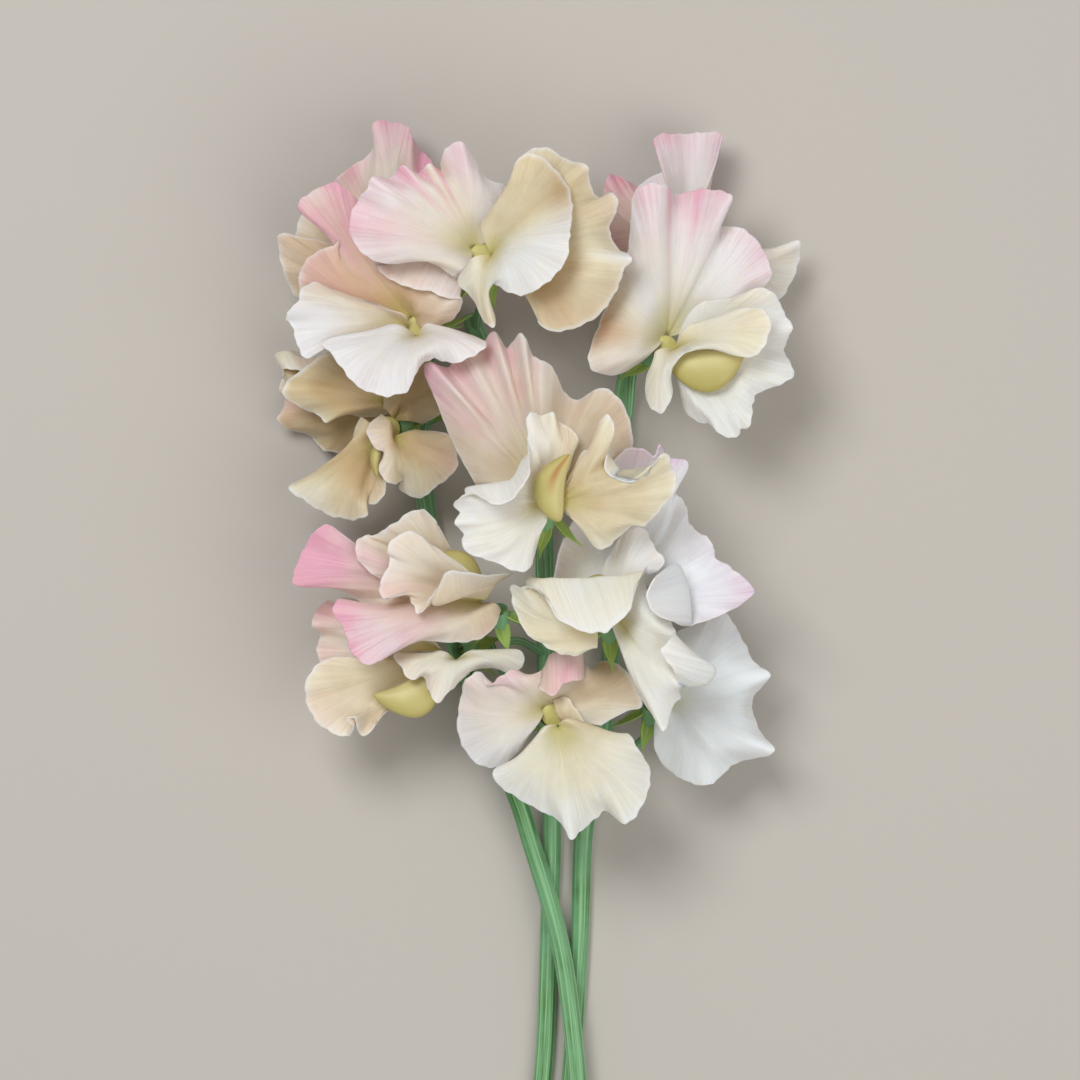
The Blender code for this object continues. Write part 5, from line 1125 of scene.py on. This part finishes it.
def calyx_bell(name, mouth, back):
    """The green cup that holds the petals: a profile turned round the calyx's line."""
    turn = back.to_track_quat("Z", "Y").to_matrix().to_4x4()
    bm = bmesh.new()
    bmesh.ops.create_circle(bm, segments=BELL_SIDES, radius=CALYX_MOUTH_RADIUS)
    edges = bm.edges[:]
    for height, radius in BELL_PROFILE:
        grown = bmesh.ops.extrude_edge_only(bm, edges=edges)["geom"]
        verts = [item for item in grown if isinstance(item, bmesh.types.BMVert)]
        edges = [item for item in grown if isinstance(item, bmesh.types.BMEdge)]
        edges = [edge for edge in edges if all(vert in verts for vert in edge.verts)]
        for vert in verts:
            across = Vector((vert.co.x, vert.co.y, 0)).normalized()
            vert.co = across * radius + Vector((0, 0, height))
    bmesh.ops.contextual_create(bm, geom=edges)
    bmesh.ops.transform(bm, matrix=Matrix.Translation(mouth) @ turn, verts=bm.verts)
    bmesh.ops.recalc_face_normals(bm, faces=bm.faces)
    # Extruding leaves the corners, edges and faces in no fixed order, so each is put in order by place
    for parts, place in (
            (bm.verts, lambda vert: vert.co),
            (bm.edges, lambda edge: edge.verts[0].co + edge.verts[1].co),
            (bm.faces, lambda face: face.calc_center_median())):
        for i, part in enumerate(sorted(parts, key=lambda part: place(part).to_tuple(3))):
            part.index = i
        parts.sort()
    return as_mesh(bm, name)


def sepal_mesh(name, root, way, outward, curl):
    """One green sepal: a pointed leaf, folded along its middle and curling at the tip."""
    across = way.cross(outward).normalized()
    face = across.cross(way).normalized()
    s = np.linspace(-1, 1, LEAF_GRID[1])
    t = np.linspace(0, 1, LEAF_GRID[0])
    half = LEAF_HALF_WIDTH * (1 - t ** 2.4) * (0.45 + 0.62 * np.sin(pi * np.clip(t * 1.25, 0, 1)) ** 0.8)
    rise = curl * t ** 2 * SEPAL_LENGTH
    fold = LEAF_FOLD[0] * np.outer(half, np.abs(s) ** LEAF_FOLD[1])
    points = (
        np.array(root)
        + np.array(way) * (t * SEPAL_LENGTH)[:, None, None]
        + np.array(across) * np.outer(half, s)[:, :, None]
        + np.array(face) * (rise[:, None] + fold)[:, :, None]
    )
    rib = np.broadcast_to(np.exp(-(s / LEAF_RIB[0]) ** 2) * LEAF_RIB[1], points.shape[:2])
    uvs = grid_uvs(0.5 + 0.5 * s, t * SEPAL_LENGTH / UV_SIZE)
    return sheet_mesh(name, points, uvs, {"cut": np.zeros(points.shape[:2]), "rib": rib})


def fine_keel(name, heart, keel):
    """The keel: a smooth boat between the wings, its upper end drawn to a point."""
    base, along, across, out = keel_frame(keel)
    angle = np.linspace(0, pi, FINE_KEEL[0])
    turn = np.linspace(0, 2 * pi, FINE_KEEL[1])
    z = -np.cos(angle)
    place = (z + 1) / 2
    size = np.sin(angle) * (1 - KEEL_SHARPNESS * place ** 2)
    belly = keel[2] * (KEEL_BELLY * (1 - z * z)[:, None] + KEEL_ROUND * np.outer(size, np.cos(turn)))
    side = KEEL_WIDTH / 2 * np.outer(size, np.sin(turn))
    points = (
        np.array((0, 0, heart[2])) + np.array(base)
        + place[:, None, None] * np.array(along)
        + belly[:, :, None] * np.array(across)
        + side[:, :, None] * np.array(out)
    )
    middle, width = STREAK_ACROSS
    least, more, growth = CREST_PALENESS_AND_HIGHLIGHT
    masks = {
        "tip": (name == STREAKED_KEEL) * np.outer(
            np.clip((place - STREAK_START) / STREAK_START, 0, 1),
            np.exp(-((np.cos(turn) - middle) / width) ** 2)),
        # crest: paler toward the keel's upper side, partly a painted highlight; deeper at its belly and ends
        "crest": np.outer(np.sin(angle) ** 0.5, least + more * (0.5 - 0.5 * np.cos(turn)) ** growth),
        "claw": np.zeros(points.shape[:2]),
    }
    uvs = grid_uvs(turn / (2 * pi), place * along.length / UV_SIZE)
    return welded(sheet_mesh(name, points, uvs, masks))


def heart_mesh(name, heart):
    """The claws grown together at a bloom's heart: a small flat lump between the petals."""
    angle = np.linspace(0, pi, HEART_GRID[0])
    turn = np.linspace(0, 2 * pi, HEART_GRID[1])
    ball = np.stack(np.broadcast_arrays(
        np.outer(np.sin(angle), np.cos(turn)), np.outer(np.sin(angle), np.sin(turn)), np.cos(angle)[:, None],
    ), axis=-1)
    points = np.array(heart) - (0, 0, HEART_DROP) + ball * np.array(HEART_RADII)
    none = np.zeros(points.shape[:2])
    uvs = grid_uvs(turn / (2 * pi), angle / UV_SIZE)
    return welded(sheet_mesh(name, points, uvs, {"tip": none, "crest": none, "claw": none + 1}))


def joined(name, meshes):
    """Several meshes as one, each keeping its UV map and masks."""
    parts = [in_scene(name, mesh) for mesh in meshes]
    with bpy.context.temp_override(active_object=parts[0], selected_editable_objects=parts):
        bpy.ops.object.join()
    mesh = parts[0].data
    bpy.data.objects.remove(parts[0])
    return mesh


# ---------------------------------------------------------------- finishes

def new_group(name, inputs, outputs):
    """An empty shader node group with named sockets, and its input and output nodes."""
    group = bpy.data.node_groups.new(name, "ShaderNodeTree")
    for label, kind, value in inputs:
        socket = group.interface.new_socket(label, in_out="INPUT", socket_type=kind)
        if value is not None:
            socket.default_value = value
    for label, kind in outputs:
        group.interface.new_socket(label, in_out="OUTPUT", socket_type=kind)
    return group, group.nodes.new("NodeGroupInput"), group.nodes.new("NodeGroupOutput")


def maths(tree, operation, first, second=0.5, third=None, clamp=False):
    """A Math node's output, each term a socket or a number."""
    node = tree.nodes.new("ShaderNodeMath")
    node.operation = operation
    node.use_clamp = clamp
    for socket, term in zip(node.inputs, (first, second, third)):
        if isinstance(term, bpy.types.NodeSocket):
            tree.links.new(term, socket)
        elif term is not None:
            socket.default_value = term
    return node.outputs[0]


def noise(tree, vector, scale, detail, roughness):
    """A Noise Texture's value over a vector."""
    node = tree.nodes.new("ShaderNodeTexNoise")
    node.inputs["Scale"].default_value = scale
    node.inputs["Detail"].default_value = detail
    node.inputs["Roughness"].default_value = roughness
    tree.links.new(vector, node.inputs["Vector"])
    return node.outputs["Fac"]


def between(tree, value, low, high):
    """A value's share of the way from low to high, kept in 0 to 1."""
    node = tree.nodes.new("ShaderNodeMapRange")
    node.interpolation_type = "SMOOTHSTEP"
    node.inputs["From Min"].default_value = low
    node.inputs["From Max"].default_value = high
    tree.links.new(value, node.inputs["Value"])
    return node.outputs["Result"]


def blended(tree, factor, first, second, way="MIX"):
    """A Mix node's colour, each end a socket or a colour."""
    node = tree.nodes.new("ShaderNodeMix")
    node.data_type = "RGBA"
    node.blend_type = way
    node.clamp_factor = True
    for socket, term in ((node.inputs[0], factor), (node.inputs[6], first), (node.inputs[7], second)):
        if isinstance(term, bpy.types.NodeSocket):
            tree.links.new(term, socket)
        elif isinstance(term, tuple):
            socket.default_value = (*term, 1)
        else:
            socket.default_value = term
    return node.outputs[2]


def vein_group():
    """Fine lines that run from claw to rim, dividing as they go, with soft cells between them."""
    group, entry, leave = new_group(
        "petal veins",
        [("Surface", "NodeSocketVector", None), ("Lines", "NodeSocketFloat", 100.0)],
        [("Vein", "NodeSocketFloat"), ("Height", "NodeSocketFloat")])
    parts = group.nodes.new("ShaderNodeSeparateXYZ")
    group.links.new(entry.outputs["Surface"], parts.inputs[0])
    lines = maths(group, "MULTIPLY", parts.outputs["X"], entry.outputs["Lines"])
    streaks = []
    for stretch, along in ((1.0, 1.6), (2.3, 4.0)):
        place = group.nodes.new("ShaderNodeCombineXYZ")
        group.links.new(maths(group, "MULTIPLY", lines, stretch), place.inputs["X"])
        group.links.new(maths(group, "MULTIPLY", parts.outputs["Y"], along), place.inputs["Y"])
        streaks.append(noise(group, place.outputs[0], 1.0, 3.0, 0.55))
    coarse = between(group, streaks[0], 0.46, 0.66)
    fine = between(group, streaks[1], 0.45, 0.7)
    vein = maths(group, "ADD", maths(group, "MULTIPLY", coarse, 0.6), maths(group, "MULTIPLY", fine, 0.4))
    group.links.new(vein, leave.inputs["Vein"])
    group.links.new(vein, leave.inputs["Height"])
    return group


def patch_group():
    """Broad soft patches, and the tiny grain of petal cells, over Object coordinates."""
    group, entry, leave = new_group(
        "soft patches",
        [("Place", "NodeSocketVector", None)],
        [("Patch", "NodeSocketFloat"), ("Grain", "NodeSocketFloat")])
    patch = noise(group, entry.outputs["Place"], 70.0, 3.0, 0.55)
    grain = noise(group, entry.outputs["Place"], 2600.0, 1.0, 0.5)
    group.links.new(between(group, patch, 0.35, 0.65), leave.inputs["Patch"])
    group.links.new(grain, leave.inputs["Grain"])
    return group


def placed(tree, group, socket, coordinate):
    """A group as a node in a tree, its socket fed with one of the Texture Coordinates."""
    node = tree.nodes.new("ShaderNodeGroup")
    node.node_tree = group
    coords = tree.nodes.new("ShaderNodeTexCoord")
    tree.links.new(coords.outputs[coordinate], node.inputs[socket])
    return node


def mask(tree, name):
    """A point mask's value."""
    node = tree.nodes.new("ShaderNodeAttribute")
    node.attribute_name = name
    return node.outputs["Fac"]


def new_material(name, roughness, subsurface=0.0, depth=0.001, sheen=0.0):
    """A material with its Principled shader's plain settings."""
    material = bpy.data.materials.new(name)
    material.use_nodes = True
    shader = material.node_tree.nodes["Principled BSDF"]
    shader.inputs["Roughness"].default_value = roughness
    shader.inputs["Subsurface Weight"].default_value = subsurface
    shader.inputs["Subsurface Scale"].default_value = depth
    shader.inputs["Subsurface Radius"].default_value = (1.0, 0.7, 0.45)
    shader.inputs["Sheen Weight"].default_value = sheen
    shader.inputs["Sheen Roughness"].default_value = 0.5
    shader.inputs["IOR"].default_value = 1.4
    return material, material.node_tree, shader


def bumped(tree, shader, height, distance, strength):
    """Fine relief on a material's surface."""
    bump = tree.nodes.new("ShaderNodeBump")
    bump.inputs["Distance"].default_value = distance
    bump.inputs["Strength"].default_value = strength
    tree.links.new(height, bump.inputs["Height"])
    tree.links.new(bump.outputs["Normal"], shader.inputs["Normal"])


def petal_material(name, white, cream, shade_tan, claw, blush, vein_shade, veins, patches):
    """Petal tissue: white to cream to tan by warmth, the tan being painted shade and the white of lit bands
    painted light, green-gold claw, pink tints, and fine radial veins.
    """
    material, tree, shader = new_material(name, 0.5, subsurface=0.6, depth=0.0024, sheen=0.12)
    lines = placed(tree, veins, "Surface", "UV")
    lines.inputs["Lines"].default_value = VEIN_LINES["petal"]
    soft = placed(tree, patches, "Place", "Object")
    vein, patch = lines.outputs["Vein"], soft.outputs["Patch"]
    cloudy = maths(tree, "MULTIPLY_ADD", patch, 0.16, -0.08)
    # Painted shade and light: tan where a petal lies in shade, white on lit bands, cream between
    warmth_and_shading = maths(tree, "ADD", mask(tree, "warmth_and_shading"), cloudy, clamp=True)
    ramp = tree.nodes.new("ShaderNodeValToRGB")
    ramp.color_ramp.elements[0].color = (*white, 1)
    ramp.color_ramp.elements[1].color = (*shade_tan, 1)
    ramp.color_ramp.elements.new(0.5).color = (*cream, 1)
    tree.links.new(warmth_and_shading, ramp.inputs["Fac"])
    tone = blended(tree, maths(tree, "MULTIPLY", mask(tree, "claw"), 0.8), ramp.outputs["Color"], claw)
    uneven = maths(tree, "MULTIPLY_ADD", patch, 0.5, 0.7)
    veined = maths(tree, "MULTIPLY_ADD", vein, 0.35, 0.85)
    tint = maths(tree, "MULTIPLY", maths(tree, "MULTIPLY", mask(tree, "blush"), uneven), veined, clamp=True)
    tone = blended(tree, tint, tone, blush)
    tone = blended(tree, maths(tree, "MULTIPLY", vein, 0.5), tone, vein_shade, "MULTIPLY")
    # Painted highlight along the rim, weaker where the rim is pink
    rim_highlight_share = maths(tree, "MULTIPLY_ADD", tint, -0.8, 0.6, clamp=True)
    tone = blended(tree, maths(tree, "MULTIPLY", mask(tree, "edge"), rim_highlight_share), tone, RIM_HIGHLIGHT_COLOUR)
    tree.links.new(tone, shader.inputs["Base Color"])
    height = maths(tree, "MULTIPLY_ADD", soft.outputs["Grain"], 0.25, lines.outputs["Height"])
    bumped(tree, shader, height, 0.00016, 0.5)
    return material


def keel_material(colours, veins, patches):
    """The keel's smooth yellow-green, darkened as painted shade of the wings over it, paler along its crest
    (partly a painted highlight), with a brown streak toward the tip.
    """
    deep, light, streak, claw = colours
    material, tree, shader = new_material("keel tissue", 0.42, subsurface=0.45, depth=0.002, sheen=0.05)
    soft = placed(tree, patches, "Place", "Object")
    lines = placed(tree, veins, "Surface", "UV")
    lines.inputs["Lines"].default_value = VEIN_LINES["keel"]
    # Partly painted highlight: the crest paler than the belly
    pale = maths(tree, "MULTIPLY_ADD", soft.outputs["Patch"], 0.3, mask(tree, "crest"), clamp=True)
    tone = blended(tree, pale, deep, light)
    tone = blended(tree, maths(tree, "MULTIPLY", lines.outputs["Vein"], 0.25), tone, deep)
    tone = blended(tree, maths(tree, "MULTIPLY", mask(tree, "tip"), 0.8), tone, streak)
    tone = blended(tree, mask(tree, "claw"), tone, claw)
    tree.links.new(tone, shader.inputs["Base Color"])
    bumped(tree, shader, lines.outputs["Height"], 0.00012, 0.4)
    return material


def green_material(name, deep, light, waxy, patches):
    """Stem and sepal green: lengthwise stripes, a waxy bloom, and a pale pith where it is cut."""
    material, tree, shader = new_material(name, 0.45, subsurface=0.1, depth=0.001, sheen=0.05)
    soft = placed(tree, patches, "Place", "Object")
    coords = tree.nodes.new("ShaderNodeTexCoord")
    parts = tree.nodes.new("ShaderNodeSeparateXYZ")
    tree.links.new(coords.outputs["UV"], parts.inputs[0])
    turn = maths(tree, "MULTIPLY", parts.outputs["X"], 2 * pi)
    place = tree.nodes.new("ShaderNodeCombineXYZ")
    tree.links.new(maths(tree, "MULTIPLY", maths(tree, "COSINE", turn), 2.2), place.inputs["X"])
    tree.links.new(maths(tree, "MULTIPLY", maths(tree, "SINE", turn), 2.2), place.inputs["Y"])
    tree.links.new(maths(tree, "MULTIPLY", parts.outputs["Y"], 1.1), place.inputs["Z"])
    stripes = between(tree, noise(tree, place.outputs[0], 1.6, 3.0, 0.6), 0.42, 0.62)
    tone = blended(tree, stripes, deep, light)
    tone = blended(tree, maths(tree, "MULTIPLY", soft.outputs["Patch"], 0.5), tone, waxy)
    tone = blended(tree, mask(tree, "rib"), tone, light)
    tone = blended(tree, mask(tree, "cut"), tone, PITH_COLOUR)
    tree.links.new(tone, shader.inputs["Base Color"])
    height = maths(tree, "MULTIPLY_ADD", soft.outputs["Grain"], 0.3, stripes)
    bumped(tree, shader, height, 0.00015, 0.6)
    return material


# ---------------------------------------------------------------- the whole bunch

def petal_finish(name):
    """Which of the petal finishes a petal has."""
    for finish_name, names in FINISHES.items():
        if name in names or name[:8] in names:
            return finish_name
    return "cream"


def dress():
    """Make every piece of the bunch."""
    veins, patches = vein_group(), patch_group()
    petals = {
        label: petal_material(f"{label} petal", *colours, veins, patches)
        for label, colours in PETAL_COLOURS.items()}
    keel = keel_material(KEEL_COLOURS, veins, patches)
    stem_green = green_material("stem green", *STEM_COLOURS, patches)
    sepal_green = green_material("sepal green", *SEPAL_COLOURS, patches)

    moves = settled_bunch()
    for name in LAYERS:
        bloom, part = name[:8], name[9:]
        if part == "keel":
            mesh = fine_keel(name, BLOOMS[bloom]["heart"], BLOOMS[bloom]["keel"])
            mesh.transform(Matrix.Translation((0, 0, moves[name][0])))
            if bloom not in TURNED_BLOOMS and bloom not in HIDDEN_HEARTS:
                mesh = joined(name, [mesh, heart_mesh(name, BLOOMS[bloom]["heart"])])
            finish(f"{name}_tissue", mesh, keel, name)
            continue
        tissue = petals[petal_finish(name)]
        piece = finish(f"{name}_petal", fine_petal(name, moves[name]), tissue, name)
        thicken(piece, FINE_WALL)

    for stem, plan in STEMS.items():
        tubes = [fine_tube(stem, plan["route"], STEM_RADIUS, STEM_GRID, ribs=STEM_RIBS[1])]
        sepals = []
        for bloom, route in plan["stalks"].items():
            mouth, back = calyx_frame(bloom)
            tubes.append(fine_tube(bloom, stalk_route(route, mouth, back), STALK_RADIUS, STALK_GRID))
            tubes.append(calyx_bell(bloom, mouth, back))
            for i, (root, way, outward) in enumerate(sepal_ways(mouth, back)):
                sepals.append(sepal_mesh(bloom, root, way, outward, LEAF_CURLS[i % 2]))
        finish(f"{stem}_skin", joined(stem, tubes), stem_green, stem)
        leaves = finish(f"{stem}_sepals", joined(stem, sepals), sepal_green)
        thicken(leaves, LEAF_WALL)


def light_from(name, place, aim, size, power, colour):
    """A soft square light that points at the bunch."""
    light = bpy.data.lights.new(name, "AREA")
    light.size = size
    light.energy = power
    light.color = colour
    lamp = in_scene(name, light)
    lamp.location = place
    lamp.rotation_euler = (Vector(aim) - Vector(place)).to_track_quat("-Z", "Y").to_euler()


def studio():
    """A pale floor, soft light from the upper left, and the camera straight above."""
    bm = bmesh.new()
    bmesh.ops.create_grid(bm, x_segments=1, y_segments=1, size=FLOOR_SIZE)
    floor = in_scene("pale_floor", as_mesh(bm, "pale floor"))
    material, _, shader = new_material("pale floor", 0.8)
    shader.inputs["Base Color"].default_value = (*FLOOR_COLOUR, 1)
    floor.data.materials.append(material)

    for name, light in LIGHTS.items():
        light_from(name, *light)
    colour, strength = ROOM_LIGHT
    world = bpy.data.worlds.new("soft room")
    world.use_nodes = True
    sky = world.node_tree.nodes["Background"]
    sky.inputs["Color"].default_value = (*colour, 1)
    sky.inputs["Strength"].default_value = strength
    bpy.context.scene.world = world
    bpy.context.scene.view_settings.view_transform = "Standard"

    camera = bpy.data.cameras.new("above")
    camera.sensor_width = SENSOR_WIDTH
    camera.lens = SENSOR_WIDTH * CAMERA_HEIGHT / (FRAME_WIDTH * MM)
    camera.clip_start = 0.01
    above = in_scene("above", camera)
    above.location = (-PLAN_ORIGIN[0] * MM, -PLAN_ORIGIN[1] * MM, CAMERA_HEIGHT + PETAL_LEVEL)
    bpy.context.scene.camera = above


dress()
studio()
